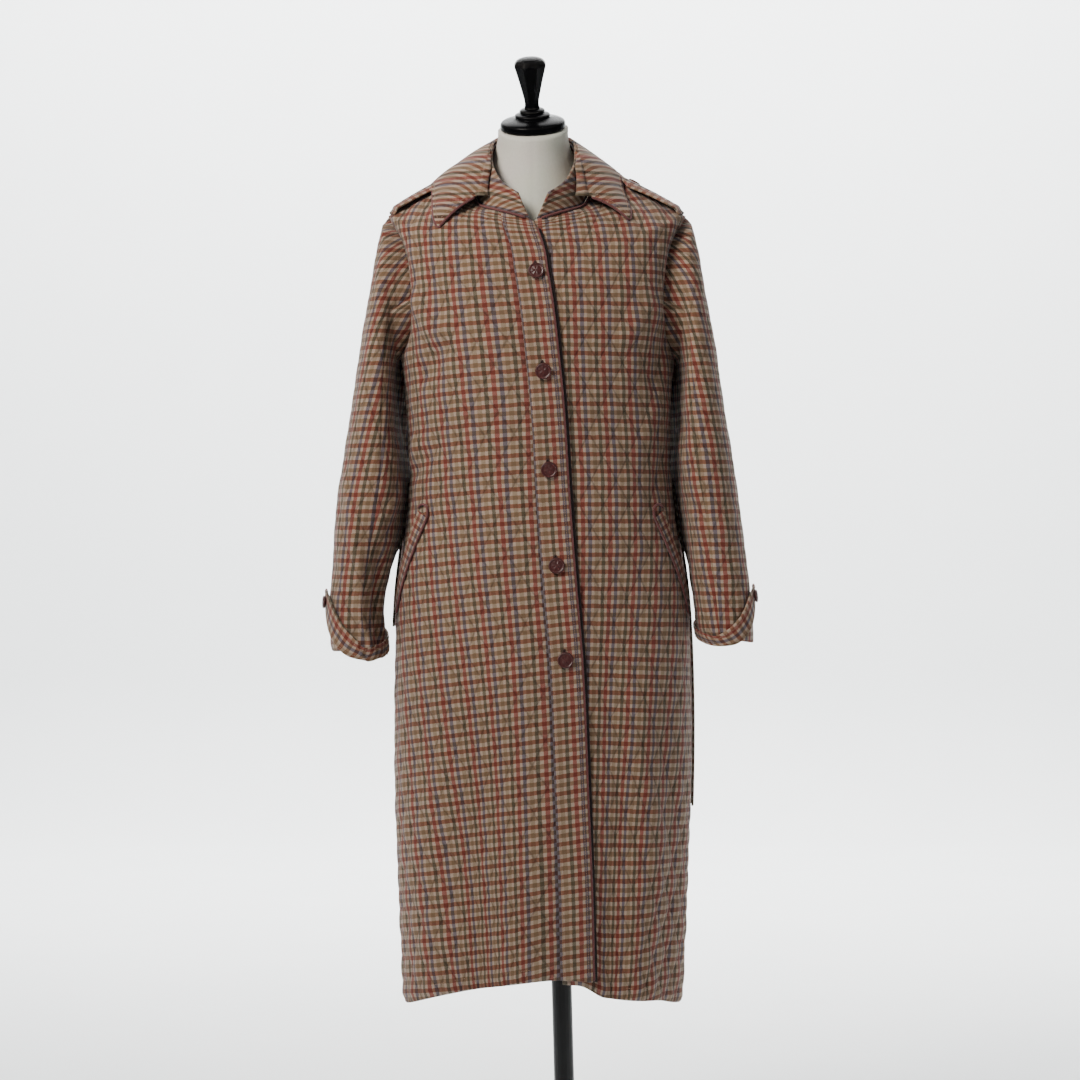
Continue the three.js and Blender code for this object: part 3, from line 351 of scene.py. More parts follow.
def grid_normals(points, axis_at):
    """Unit normals of a grid of points, turned away from an axis given by a function."""
    across = np.gradient(points, axis=1)
    along = np.gradient(points, axis=0)
    normal = np.cross(across, along)
    normal /= np.maximum(np.linalg.norm(normal, axis=-1, keepdims=True), 1e-9)
    turned = np.sign(np.sum(normal * (points - axis_at(points)), -1, keepdims=True))
    return normal * np.where(turned == 0, 1, turned)


def body_axis(p):
    """The middle of the body below each point, from which a way out is judged."""
    return np.stack([np.full(p.shape[:-1], -40.0), np.zeros(p.shape[:-1]),
                     np.minimum(p[..., 2], 1300) - 60], -1)


def cloth_wall(name, points, normals, uv, material, relief=0.0, wall=COAT_WALL, turned_edge=0.45):
    """A closed wall of cloth: a relief outside, plain inside, and an edge rounded as a turned hem."""
    rows, columns = points.shape[:2]
    outer = points + normals * np.asarray(relief)[..., None]
    inner = points - normals * wall
    border = ([(0, i) for i in range(columns)] + [(j, columns - 1) for j in range(1, rows)]
              + [(rows - 1, i) for i in range(columns - 2, -1, -1)]
              + [(j, 0) for j in range(rows - 2, 0, -1)])
    middle = []
    for j, i in border:
        away = points[j, i] - points[min(max(j, 1), rows - 2), min(max(i, 1), columns - 2)]
        away = away - normals[j, i] * np.dot(away, normals[j, i])
        away /= max(np.linalg.norm(away), 1e-9)
        middle.append((outer[j, i] + inner[j, i]) / 2 + away * wall * turned_edge)
    count, total = rows * columns, len(border)
    everything = np.concatenate([outer.reshape(-1, 3), inner.reshape(-1, 3), np.array(middle)])
    flat = uv.reshape(-1, 2)
    all_uv = np.concatenate([flat, flat, np.array([uv[j, i] for j, i in border])])
    index = np.arange(count).reshape(rows, columns)
    outside = np.stack([index[:-1, :-1].ravel(), index[:-1, 1:].ravel(),
                        index[1:, 1:].ravel(), index[1:, :-1].ravel()], -1)
    j, i = rows // 2, columns // 2
    sample = np.cross(points[j, i + 1] - points[j, i], points[j + 1, i] - points[j, i])
    faces_out = np.dot(sample, normals[j, i]) > 0
    outside = outside if faces_out else outside[:, ::-1]
    inside = outside[:, ::-1] + count
    edge = np.array([index[at] for at in border])
    loops = (edge, 2 * count + np.arange(total), edge + count)
    rim = []
    for k in range(total):
        n = (k + 1) % total
        for low, high in zip(loops, loops[1:]):
            quad = (low[k], high[k], high[n], low[n])
            rim.append(quad if faces_out else quad[::-1])
    return mesh_object(name, everything, outside.tolist() + inside.tolist() + rim, material, uv=all_uv)


QUILT_WIDE, QUILT_TALL = 36.0, 64.0


def quilt_relief(uv, height=1.7):
    """Puffs between diamond stitching, zero on the lines and highest between them."""
    a = uv[..., 0] / QUILT_WIDE + uv[..., 1] / QUILT_TALL
    b = uv[..., 0] / QUILT_WIDE - uv[..., 1] / QUILT_TALL
    puff = (np.abs(np.sin(math.pi * a)) * np.abs(np.sin(math.pi * b))) ** 0.55
    uneven = 1 + 0.25 * wander(uv[..., 0] * 1.7, uv[..., 1] * 1.3, 4.0)
    return height * puff * uneven


# Coat cloth. A plain-woven wool check on a cream ground, laid over thin wadding and a lining, and
# quilted by machine in upright diamonds 36 mm wide and 64 mm tall. Real stripes are about 5.5 mm wide.
CREAM, RED, SLATE, TAN, OLIVE = "#9e8877", "#77302b", "#474453", "#7c6954", "#434132"
RUST, BARK = "#744a37", "#7a6450"
# What a coloured weft takes from the warp under it. A cream weft takes nothing.
SHADE_CREAM, SHADE_RUST, SHADE_BARK = "#ffffff", "#c99c8d", "#cbb6a3"
# The check repeats at these widths in mm, across and up.
WARP_REPEAT, WEFT_REPEAT = 38.0, 22.8
YARN_DRAWN, GROOVE_HALF = 2.4, 0.075
# Settings that the nodes below share.
MATH, TIMES, PLUS = "ShaderNodeMath", {"operation": "MULTIPLY"}, {"operation": "ADD"}
OVER, SINE = {"operation": "DIVIDE"}, {"operation": "SINE"}
TURN = 2 * math.pi


def stripes(tree, value, stops):
    """A ramp with flat bands: stops are (place from 0 to 1, hex colour)."""
    ramp = node(tree, "ShaderNodeValToRGB", Fac=value)
    ramp.color_ramp.interpolation = "CONSTANT"
    while len(ramp.color_ramp.elements) < len(stops):
        ramp.color_ramp.elements.new(0.5)
    for element, (at, code) in zip(ramp.color_ramp.elements, stops):
        element.position = at
        element.color = linear(code)
    return ramp.outputs["Color"]


def check_material(name, quilted):
    """Woven check read from the cloth's own millimetres, with yarn, slub and quilting relief."""
    material, tree, shader = new_material(name)
    cloth = node(tree, "ShaderNodeUVMap", {"uv_map": "cloth_mm"})
    place = node(tree, "ShaderNodeTexCoord")
    # Yarns wander by about half a millimetre, so stripe edges are not ruler straight.
    moved = cloth
    for scale, detail, reach in ((0.11, 3.0, 2.2), (0.9, 2.0, 1.3)):
        drift = node(tree, "ShaderNodeTexNoise", Vector=cloth, Scale=scale, Detail=detail)
        moved = node(tree, "ShaderNodeVectorMath", {"operation": "MULTIPLY_ADD"},
                     _0=drift.outputs["Color"], _1=(reach, reach, 0.0), _2=moved)
    split = node(tree, "ShaderNodeSeparateXYZ", Vector=moved)
    warp_at, weft_at = (
        node(tree, MATH, {"operation": "FRACT"}, _0=node(tree, MATH, OVER, _0=split.outputs[axis], _1=repeat))
        for axis, repeat in (("X", WARP_REPEAT), ("Y", WEFT_REPEAT)))
    warp = stripes(tree, warp_at, [(0, RED), (0.15, CREAM), (0.25, SLATE), (0.39, CREAM), (0.49, TAN),
                                   (0.65, CREAM), (0.75, OLIVE), (0.88, CREAM)])
    shade, weft = (
        stripes(tree, weft_at, [(0, first), (0.26, ground), (0.5, second), (0.76, ground)])
        for first, ground, second in ((SHADE_RUST, SHADE_CREAM, SHADE_BARK), (RUST, CREAM, BARK)))
    # The real yarns are 0.6 mm apart. The weave is drawn at 2.4 mm, the finest that shows.
    yarn_u, yarn_v = (
        node(tree, MATH, SINE, _0=node(tree, MATH, TIMES, _0=split.outputs[axis], _1=TURN / YARN_DRAWN))
        for axis in "XY")
    weave = node(tree, MATH, TIMES, _0=yarn_u, _1=yarn_v)
    over = node(tree, "ShaderNodeMapRange", Value=weave, From__Min=-1.0, From__Max=1.0,
                To__Min=0.1, To__Max=0.34)
    under_weft = node(tree, "ShaderNodeMix", MULTIPLIED, Factor=1.0, _6=warp, _7=shade)
    woven = node(tree, "ShaderNodeMix", BLEND, Factor=over, _6=under_weft.outputs[2], _7=weft)
    slub = node(tree, "ShaderNodeTexNoise", Vector=cloth, Scale=0.45, Detail=5.0, Roughness=0.7)
    wear = node(tree, "ShaderNodeTexNoise", Vector=place.outputs["Object"], Scale=7.0, Detail=3.0)
    slub_tone = node(tree, "ShaderNodeMapRange", Value=slub, From__Min=0.25, From__Max=0.75,
                     To__Min=0.80, To__Max=1.16)
    wear_tone = node(tree, "ShaderNodeMapRange", Value=wear, From__Min=0.3, From__Max=0.7,
                     To__Min=0.95, To__Max=1.05)
    tone = node(tree, MATH, TIMES, _0=slub_tone, _1=wear_tone)
    height = node(tree, MATH, PLUS, _0=node(tree, MATH, TIMES, _0=weave, _1=0.35),
                  _1=node(tree, MATH, TIMES, _0=slub, _1=0.8))
    if quilted:
        # Each stitched line pulls a groove into the cloth, drawn about 4 mm wide so that it shows. The groove
        # is also painted darker, as painted shade in the crease.
        flat = node(tree, "ShaderNodeSeparateXYZ", Vector=cloth)
        across, up = (node(tree, MATH, OVER, _0=flat.outputs[axis], _1=size)
                      for axis, size in (("X", QUILT_WIDE), ("Y", QUILT_TALL)))
        groove = 1.0
        for operation in ("ADD", "SUBTRACT"):
            slanted = node(tree, MATH, {"operation": operation}, _0=across, _1=up)
            line = node(tree, MATH, {"operation": "PINGPONG"}, _0=slanted, _1=0.5)
            beside = node(tree, "ShaderNodeMapRange", {"interpolation_type": "SMOOTHSTEP"}, Value=line,
                          From__Min=0.0, From__Max=GROOVE_HALF, To__Min=0.0, To__Max=1.0)
            groove = node(tree, MATH, TIMES, _0=beside, _1=groove)
        height = node(tree, MATH, PLUS, _0=height, _1=node(tree, MATH, TIMES, _0=groove, _1=1.5))
        # Painted shade: the cloth's colour darkens to two thirds in each quilting groove.
        painted_groove_shade = node(tree, "ShaderNodeMapRange", Value=groove, To__Min=0.66, To__Max=1.0)
        tone = node(tree, MATH, TIMES, _0=tone, _1=painted_groove_shade)
    coloured = node(tree, "ShaderNodeMix", MULTIPLIED, Factor=1.0, _6=woven.outputs[2], _7=tone)
    bump = node(tree, "ShaderNodeBump", Height=height, Strength=0.55, Distance=0.0006)
    plug(tree, shader, Base__Color=coloured.outputs[2], Normal=bump, Roughness=0.88,
         Specular__IOR__Level=0.25, Sheen__Weight=0.12, Sheen__Roughness=0.5)
    return material


quilted_check = check_material("quilted_wool_check", True)
plain_check = check_material("wool_check", False)


def declare(piece, replaced):
    """Rides and replaces a cloth piece: it hangs from the root, and the solid that it stands for is hidden.
    """
    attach(piece, "root")
    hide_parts(replaced)


# Fronts and back. Two fronts and a one-piece back, cut from the quilted cloth and seamed at the sides
# and shoulders. The wearer's right front laps over the left one and carries a plain placket band.
LEVELS = np.concatenate([
    np.linspace(0, UNDERARM_RISE, 181), np.linspace(UNDERARM_RISE, TIP_RISE, 45)[1:],
    np.linspace(TIP_RISE, NECK_RISE, 29)[1:]])
PLACKET_WIDTH, UNDERLAP, SEAM_DIP, SEAM_ROOM = 40.0, 36.0, 1.1, 0.15
# How far the grain has run toward the wearer's left by each height, and how much the weft tilts.
RIGHT_GRAIN = table("z shift tilt", [
    [250, 128, 0.15], [450, 102, 0.15], [550, 88, 0.15], [650, 73, 0.145], [750, 58, 0.13], [850, 44, 0.1],
    [950, 34, 0.075], [1050, 25, 0.07], [1150, 16, 0.065], [1250, 7, 0.05], [1346, 0, 0.03], [1450, -3, 0]])


def slope_length(face):
    """How much longer than its height the cloth is up to each level, where it leans back."""
    half = read(BODY, "rise", ("front" if face == FRONT else "back") + "Half", LEVELS)
    angle = np.arcsin(np.clip(100 / half, 0, 0.99) ** (1 / ROUNDNESS))
    line = body_point(face, LEFT, LEVELS, angle, folds=False)
    steps = np.diff(line, axis=0)
    extra = np.hypot(steps[:, 1], steps[:, 2]) - steps[:, 2]
    return np.concatenate([[0], np.cumsum(extra)])


SLOPE = {face: slope_length(face) for face in (FRONT, BACK)}


# Where the check's repeat falls on each piece, in mm from the centre line.
BACK_AT, RIGHT_AT, LEFT_AT, NECK_CENTRE = 11, 1.5, 20.4, 47


def body_cloth(face, side, rise, angle):
    """Where points of the body lie in the flat check cloth, in mm across and up."""
    plain = body_point(face, side, rise, angle, folds=False)
    fan = np.linspace(0, 1, 33)
    line = body_point(face, LEFT, rise[:, :1, None], fan[None, None] * QUARTER, folds=False)[:, 0]
    length = lengths_along(line * np.array([1, 1, 0]))
    across = np.sign(angle) * np.array([
        np.interp(np.abs(a), fan * QUARTER, l) for a, l in zip(angle, length)])
    z = plain[..., 2]
    up = z + np.interp(rise, LEVELS, SLOPE[face])
    lean = read(BODY, "rise", "centreX", rise[:, 0])[:, None] + NECK_CENTRE
    if face == BACK:
        return np.stack([side * across + BACK_AT, up], -1)
    if side == RIGHT:
        shift = read(RIGHT_GRAIN, "z", "shift", z.ravel()).reshape(z.shape)
        near = step((across - 12) / 120)
        shift = edge_offset(z) * (1 - near) + shift * near - lean
        tilt = read(RIGHT_GRAIN, "z", "tilt", z.ravel()).reshape(z.shape)
        return np.stack([-across - shift + RIGHT_AT, up + across * tilt], -1)
    low = np.clip(900 - z, 0, None)
    shift = -low * (0.03 + 0.07 * step((across - 60) / 100)) - np.clip(z - 1000, 0, None) * 0.029
    return np.stack([across - shift + LEFT_AT, up + across * 0.05 * step(low / 200)], -1)


def angle_at(rise, side, distance_at):
    """The angle at which each level passes a distance from the centre line."""
    half = read(BODY, "rise", "frontHalf", rise)
    angle = np.zeros(len(rise))
    for _ in range(8):
        z = body_point(FRONT, side, rise, angle, folds=False)[:, 2]
        offset = distance_at(np.clip(z, EDGE_FOOT, EDGE_TOP)) / half
        angle = np.arcsin(power(np.clip(offset, -1, 1), 1 / ROUNDNESS))
    return angle


placket_seam = angle_at(LEVELS, RIGHT, lambda z: PLACKET_WIDTH - edge_offset(z))
right_edge = angle_at(LEVELS, RIGHT, lambda z: -edge_offset(z))
left_edge = angle_at(LEVELS, LEFT, lambda z: edge_offset(z) - UNDERLAP * step((EDGE_TOP - z) / 60))
quarter_turn = np.full(len(LEVELS), QUARTER)


def edge_distance(points):
    """Distance of each point to the nearest of a grid's first and last columns, and to its rows."""
    across = lengths_along(points)
    across = np.minimum(across, across[:, -1:] - across)
    along = lengths_along(points.swapaxes(0, 1)).T
    return across, np.minimum(along, along[-1:] - along)


# How far each hem is drawn up, in mm, at most: the right front's beside its placket, the left one's
# beside its edge, where it dips, and the back's between the side seams.
HEM_LIFT = {"right_front": 7.0, "right_front_placket": 7.0, "left_front": -13.0, "back": 12.0}


def hem_share(name, inside):
    """Where along its width a piece's hem is drawn up, from 0 to 1."""
    if name == "right_front":
        return step(1 - inside / 100)
    if name == "left_front":
        return step((inside - 20) / 40) * step((180 - inside) / 110)
    if name == "back":
        return step(np.minimum(inside, inside[:, -1:] - inside) / 110)
    return 1.0


def body_panel(name, face, side, start, end, columns, options=()):
    """One front, back or placket as a quilted wall between two seams."""
    lifted, plain, open_start = (word in options for word in ("lifted", "plain", "open"))
    rise = np.repeat(LEVELS[:, None], columns + 1, 1)
    angles = even_angles(lambda a: body_point(face, side, LEVELS[:, None], a, lifted), start, end, columns)
    points = body_point(face, side, rise, angles, lifted)
    # A hair of room at each seam, where the two raw edges turn in.
    inset = SEAM_ROOM / np.maximum(lengths_along(points)[:, -1], 1) * (end - start)
    angles[:, -1] -= inset
    angles[:, 0] += 0 if open_start else inset
    points = body_point(face, side, rise, angles, lifted)
    points[..., 2] += HEM_LIFT[name] * step(1 - rise / 260) * hem_share(name, lengths_along(points))
    normals = grid_normals(points, body_axis)
    uv = body_cloth(face, side, rise, angles)
    across, along = edge_distance(points)
    if plain:
        uv = np.stack([lengths_along(points) * -1 + 15.2, uv[..., 1] + 6], -1)
        relief = 0.4 * wander(uv[..., 0] * 2, uv[..., 1] * 2, 6.0)
    else:
        relief = quilt_relief(uv, 2.2 + 1.8 * step(1 - rise / 460)) - 0.2
    relief = relief * step(np.minimum(across, along) / 9)
    if open_start:
        # The free edge is plump, and flattened again where it is topstitched.
        relief = relief + 1.0 * np.exp(-(across / 3.2) ** 2) * step(along / 8)
    else:
        relief = relief - SEAM_DIP * np.exp(-(across / 2.6) ** 2)
    piece = cloth_wall(name, points, normals, uv, plain_check if plain else quilted_check, relief)
    declare(piece, name)
    return points, normals


right_grid = body_panel("right_front", FRONT, RIGHT, placket_seam, quarter_turn, 48, ("lifted",))
placket_grid = body_panel("right_front_placket", FRONT, RIGHT, right_edge, placket_seam, 10,
                          ("lifted", "plain", "open"))
left_grid = body_panel("left_front", FRONT, LEFT, left_edge, quarter_turn, 54, ("open",))
back_grid = body_panel("back", BACK, LEFT, -quarter_turn, quarter_turn, 112)


def way_out(put, angle, rise, at):
    """Unit ways out of the body at an angle and a rise, for the points that lie there."""
    near = np.clip(rise, 1, NECK_RISE - 1)
    swept = np.cross(put(angle + 0.03, near) - put(angle - 0.03, near),
                     put(angle, near + 1.5) - put(angle, near - 1.5))
    swept /= np.maximum(np.linalg.norm(swept, axis=-1, keepdims=True), 1e-9)
    return swept * np.sign(np.sum(swept * (at - body_axis(at)), -1, keepdims=True))


def beside_seam(side, distance, rise):
    """Points and normals a distance round from the side or shoulder seam, to the front below zero."""
    distance, rise = np.broadcast_arrays(np.asarray(distance, float), np.asarray(rise, float))
    shape = distance.shape + (3,)
    distance, rise = distance.ravel(), rise.ravel()
    fan = np.linspace(QUARTER, 0, 49)
    found, normal = np.zeros((len(rise), 3)), np.zeros((len(rise), 3))
    for face in (FRONT, BACK):
        pick = (distance < 0) == (face == FRONT)
        if not pick.any():
            continue
        lifted = face == FRONT and side == RIGHT
        at = rise[pick]
        length = lengths_along(body_point(face, side, at[:, None], fan[None], folds=False))
        angle = np.array([np.interp(abs(d), l, fan) for d, l in zip(distance[pick], length)])
        put = lambda a, r: body_point(face, side, r, a, lifted)
        found[pick] = put(angle, at)
        normal[pick] = way_out(put, angle, at, found[pick])
    return found.reshape(shape), normal.reshape(shape)


def side_place(side, distance, z):
    """Points and normals a distance round from the side seam, at a real height in mm."""
    rise = np.asarray(z, float) - HEM_Z
    for _ in range(4):
        rise = rise + z - beside_seam(side, distance, rise)[0][..., 2]
    return beside_seam(side, distance, rise)


def front_place(side, x, z, lifted):
    """A place on a front by its real x and z, with the way out."""
    low, high = 0.0, float(NECK_RISE)
    for _ in range(40):
        rise = (low + high) / 2
        half, centre = (read(BODY, "rise", n, rise)[0] for n in ("frontHalf", "centreX"))
        angle = math.asin(power(min(max(side * (x - centre) / half, -1), 1), 1 / ROUNDNESS))
        if body_point(FRONT, side, rise, angle, folds=False)[..., 2] < z:
            low = rise
        else:
            high = rise
    put = lambda a, r: body_point(FRONT, side, r, a, lifted).reshape(3)
    swept = np.cross(put(angle + 0.03, low) - put(angle - 0.03, low),
                     put(angle, low + 2) - put(angle, low - 2))
    swept /= np.linalg.norm(swept)
    return put(angle, low), swept * (-1 if swept[1] > 0 else 1)


# Sleeves. Each is an outer and an under piece, seamed at the front and back of the arm and set into
# the armhole. They hang bent at the elbow, the wearer's right one with one deep fold to the cuff.
SLEEVES = {
    RIGHT: table("v outX outZ inX inZ frontY backY", [
        [1, -257, 1350, -237, 1158, -60, 57], [2, -266, 1310, -241, 1128, -68, 64],
        [3.5, -276, 1250, -240, 1085, -76, 72], [5, -287, 1188, -237, 1050, -80, 77],
        [7, -299, 1105, -231, 1010, -84, 78], [9, -311, 1030, -228, 968, -85, 73],
        [11, -320, 965, -233, 930, -84, 64], [13.5, -325, 885, -245, 875, -81, 53],
        [16, -330, 822, -256, 822, -77, 43], [18, -329, 770, -254, 775, -74, 37],
        [18.6, -328, 757, -253, 762, -73, 35]]),
    LEFT: table("v outX outZ inX inZ frontY backY", [
        [1, 173, 1352, 155, 1158, -60, 57], [2, 183, 1312, 159, 1128, -68, 64],
        [3.5, 193, 1252, 158, 1085, -76, 72], [5, 205, 1190, 156, 1050, -80, 77],
        [7, 217, 1110, 155, 1010, -84, 78], [9, 229, 1035, 158, 968, -85, 73],
        [11, 238, 968, 163, 930, -84, 64], [13.5, 248, 890, 169, 880, -81, 53],
        [16, 255, 830, 176, 832, -77, 43], [18, 259, 782, 181, 792, -74, 37],
        [18.6, 260, 769, 183, 781, -73, 35]]),
}
SLEEVE_END, AROUND_MM, DOWN_MM, TUCK = 18.6, 440.0, 33.5, 24.0
SLEEVE_FOLDS = {
    RIGHT: table("turn1 v1 turn2 v2 width height skew", [
        [0.20, 10.6, 0.335, 18.6, 13, 7, -0.9], [0.30, 11.0, 0.43, 18.6, 17, -13, 0.3],
        [0.44, 7.5, 0.30, 11.6, 11, 3.5, 0.4], [0.50, 9.0, 0.34, 12.4, 9, -3, 0.4],
        [0.47, 3.2, 0.30, 6.4, 12, -3.5, 0.4], [0.52, 4.4, 0.33, 7.8, 11, 3, 0.3],
        [0.08, 9.6, 0.22, 11.6, 12, 2.4, 0.4], [0.70, 8.2, 0.56, 11.4, 12, 4, 0.4],
        [0.80, 9.4, 0.60, 12.6, 12, -4, -0.4], [0.66, 3.0, 0.80, 6.4, 13, -3.5, 0.3],
        [0.02, 13.4, 0.16, 15.6, 11, -2, 0.3], [0.62, 13.0, 0.74, 16.8, 12, 3, 0.4]]),
    LEFT: table("turn1 v1 turn2 v2 width height skew", [
        [0.42, 7.6, 0.20, 10.2, 10, 3.0, 0.5], [0.46, 8.8, 0.22, 11.6, 10, -3, 0.4],
        [0.40, 10.6, 0.18, 12.8, 10, 3.4, -0.4], [0.34, 12.2, 0.12, 13.8, 9, -2.4, 0.4],
        [0.40, 13.2, 0.16, 15.4, 9, 2.6, 0.4], [0.47, 3.0, 0.30, 6.8, 12, -4, 0.5],
        [0.52, 4.4, 0.33, 8.0, 10, 3, 0.3], [0.70, 8.2, 0.56, 11.4, 12, 4, 0.4],
        [0.80, 9.4, 0.60, 12.6, 12, -4, -0.4], [0.66, 3.0, 0.80, 6.4, 13, -3.5, 0.3],
        [0.06, 11.2, 0.20, 12.0, 9, 1.8, 0.3], [0.62, 13.0, 0.74, 16.8, 12, 3, 0.4]]),
}


def sleeve_fold(side, turn, v):
    """All the folds of a sleeve, over the cloth's slow unevenness, and none at the armhole."""
    rows = SLEEVE_FOLDS[side]
    out = np.zeros(turn.shape)
    for k in range(len(rows["v1"])):
        t1, v1, t2, v2, *form = (rows[n][k] for n in "turn1 v1 turn2 v2 width height skew".split())
        to_cuff = 0.4 if v2 > 18.5 else None
        out += fold((turn - t1) * AROUND_MM, (v - v1) * DOWN_MM,
                    ((t2 - t1) * AROUND_MM, (v2 - v1) * DOWN_MM), *form, (0.3, 29, k), to_cuff)
    return (out + 1.0 * wander(turn * AROUND_MM, v * DOWN_MM, 2.0 + side)) * step(v / 1.5)


def sleeve_point(side, turn, v, folds=True):
    """Points of a sleeve: turn 0 is its outer line, then the front, under the arm and the back."""
    turn, v = np.broadcast_arrays(np.asarray(turn, float), np.asarray(v, float))
    wrapped = np.mod(turn, 1.0)
    down = np.where(wrapped < 0.5, wrapped * 2, 2 - wrapped * 2)
    rise = TIP_RISE + (UNDERARM_RISE - TIP_RISE) * down
    front = body_point(FRONT, side, rise, np.full(rise.shape, QUARTER), folds=False)
    rear = body_point(BACK, side, rise, np.full(rise.shape, QUARTER), folds=False)
    armhole = np.where((wrapped < 0.5)[..., None], front, rear)
    armhole[..., 0] += side * 0.3
    levels, where = np.unique(np.maximum(v.ravel(), 1), return_inverse=True)
    at = {n: read(SLEEVES[side], "v", n, levels)[where].reshape(v.shape)
          for n in "outX outZ inX inZ frontY backY".split()}
    angle = turn * 2 * math.pi
    cosine, sine = power(np.cos(angle), 0.9), power(np.sin(angle), 0.9)
    ring = np.stack([
        (at["outX"] + at["inX"]) / 2 + (at["outX"] - at["inX"]) / 2 * cosine,
        (at["frontY"] + at["backY"]) / 2 - (at["backY"] - at["frontY"]) / 2 * sine,
        (at["outZ"] + at["inZ"]) / 2 + (at["outZ"] - at["inZ"]) / 2 * cosine], -1)
    # Behind the arm the cloth tucks in toward the body's side.
    tuck = TUCK * np.exp(-((wrapped - 0.63) / 0.085) ** 2) * step((v - 0.6) / 1.6) * step((14 - v) / 3)
    ring[..., 0] -= side * tuck
    share = (step(v) * 0.5 + np.clip(v, 0, 1) * 0.5)[..., None]
    points = armhole * (1 - share) + ring * share
    if folds:
        middle = np.stack([(at["outX"] + at["inX"]) / 2, (at["frontY"] + at["backY"]) / 2,
                           points[..., 2] * 0.75 + (at["outZ"] + at["inZ"]) / 8], -1)
        away = points - middle
        away /= np.maximum(np.linalg.norm(away, axis=-1, keepdims=True), 1e-6)
        points = points + away * sleeve_fold(side, wrapped, v)[..., None]
    return points


def sleeve_normal(side, turn, v):
    """Unit ways out of a sleeve."""
    turn, v = np.broadcast_arrays(np.asarray(turn, float), np.asarray(v, float))
    round_arm = sleeve_point(side, turn + 0.006, v) - sleeve_point(side, turn - 0.006, v)
    down_arm = sleeve_point(side, turn, v + 0.08) - sleeve_point(side, turn, np.maximum(v - 0.08, 0))
    normal = np.cross(round_arm, down_arm)
    normal /= np.maximum(np.linalg.norm(normal, axis=-1, keepdims=True), 1e-9)
    middle = (sleeve_point(side, np.zeros(v.shape), v, False)
              + sleeve_point(side, np.full(v.shape, 0.5), v, False)) / 2
    turned = np.sign(np.sum(normal * (sleeve_point(side, turn, v) - middle), -1, keepdims=True))
    return normal * np.where(turned == 0, 1, turned)


def sleeve_cloth(side, shape, anchor):
    """A sleeve's flat cloth: across is measured along level slices of the arm from one column."""
    rows, columns = shape.shape[:2]
    z = shape[..., 2]
    places = []
    for k in range(columns):
        rising = np.maximum.accumulate(shape[::-1, k, 2]) + np.arange(rows) * 1e-6
        places.append(np.stack([np.interp(z, rising, shape[::-1, k, n]) for n in (0, 1)], -1))
    across = np.zeros(z.shape)
    column = np.arange(columns)
    for k in range(1, columns):
        gap = np.linalg.norm(places[k] - places[k - 1], axis=-1)
        across += gap * ((column >= k) & (k > anchor)) - gap * ((column < k) & (k <= anchor))
    # On the cap the cloth also runs in toward the armhole, level with its own column.
    for k in range(columns):
        inward = np.linalg.norm(shape[:, k, :2] - places[k][:, k], axis=-1)
        across[:, k] += np.sign(k - anchor) * step((abs(k - anchor) - 1) / 6) * inward
    # The grain leans across the arm, and more so toward the shoulder.
    cap = np.clip(z - 1250, 0, 60)
    lean = (0.12 if side == RIGHT else 0.05) * z + cap ** 2 / 240 + 0.5 * np.clip(z - 1310, 0, None)
    return np.stack([side * across - side * lean + 3, z * 1.01], -1)


def sleeve_piece(name, side, start, end, columns):
    """The outer or under piece of a sleeve, between two seams given in 24ths of a turn."""
    turns = np.linspace(start / 24 + 0.0004, end / 24 - 0.0004, columns + 1)
    v = np.concatenate([[0, 0.12, 0.3, 0.55, 0.8], np.linspace(1, SLEEVE_END, 116)])
    turn, down = np.meshgrid(turns, v)
    points = sleeve_point(side, turn, down)
    normals = sleeve_normal(side, turn, down)
    normals[0] = normals[2]
    uv = sleeve_cloth(side, sleeve_point(side, turn, down, False), int(np.argmin(np.abs(turns))))
    across, along = edge_distance(points)
    relief = (quilt_relief(uv, 1.5) - 0.2) * step(np.minimum(across, along) / 9)
    above_cuff = lengths_along(points.swapaxes(0, 1)).T[::-1]
    relief -= SEAM_DIP * np.exp(-(across / 2.6) ** 2) * step(above_cuff / 6)
    piece = cloth_wall(name, points, normals, uv, quilted_check, relief)
    declare(piece, name)


for word, side in SIDES:
    sleeve_piece(f"{word}_sleeve_outer", side, -6, 7, 52)
    sleeve_piece(f"{word}_sleeve_under", side, 7, 18, 44)


# Collar. A stand, sewn to the neckline and left unbuttoned, and a leaf that rolls over it and falls on
# the shoulders. Both are the same check, unquilted, with its coloured warp running round the neck.
COLLAR_X, COLLAR_Y, TRIM_WALL = -47.0, -10.0, 2.6


def around_place(side, around, rise):
    """Points and normals of the body, 0 degrees at centre front, 90 at the shoulder, 180 behind."""
    around, rise = np.broadcast_arrays(np.asarray(around, float), np.asarray(rise, float))
    found, normal = np.zeros(around.shape + (3,)), np.zeros(around.shape + (3,))
    for face in (FRONT, BACK):
        pick = (around <= 90) == (face == FRONT)
        angle = np.radians(np.where(around <= 90, around, 180 - around))[pick]
        lifted = face == FRONT and side == RIGHT
        put = lambda a, r: body_point(face, side, r, a, lifted, folds=False)
        found[pick] = put(angle, rise[pick])
        normal[pick] = way_out(put, angle, rise[pick], found[pick])
    return found, normal


def collar_axis(p):
    """The middle of the neck below each point."""
    return np.stack([np.full(p.shape[:-1], COLLAR_X), np.full(p.shape[:-1], COLLAR_Y), p[..., 2] - 30], -1)


STAND = table("turn around topOut topY topZ", [
    [0, 3, 22, -101, 1384], [0.16, 30, 46, -84, 1404], [0.32, 57, 58, -52, 1433],
    [0.5, 90, 56, 0, 1461], [0.75, 135, 38, 47, 1476], [1, 180, 0, 62, 1480]])


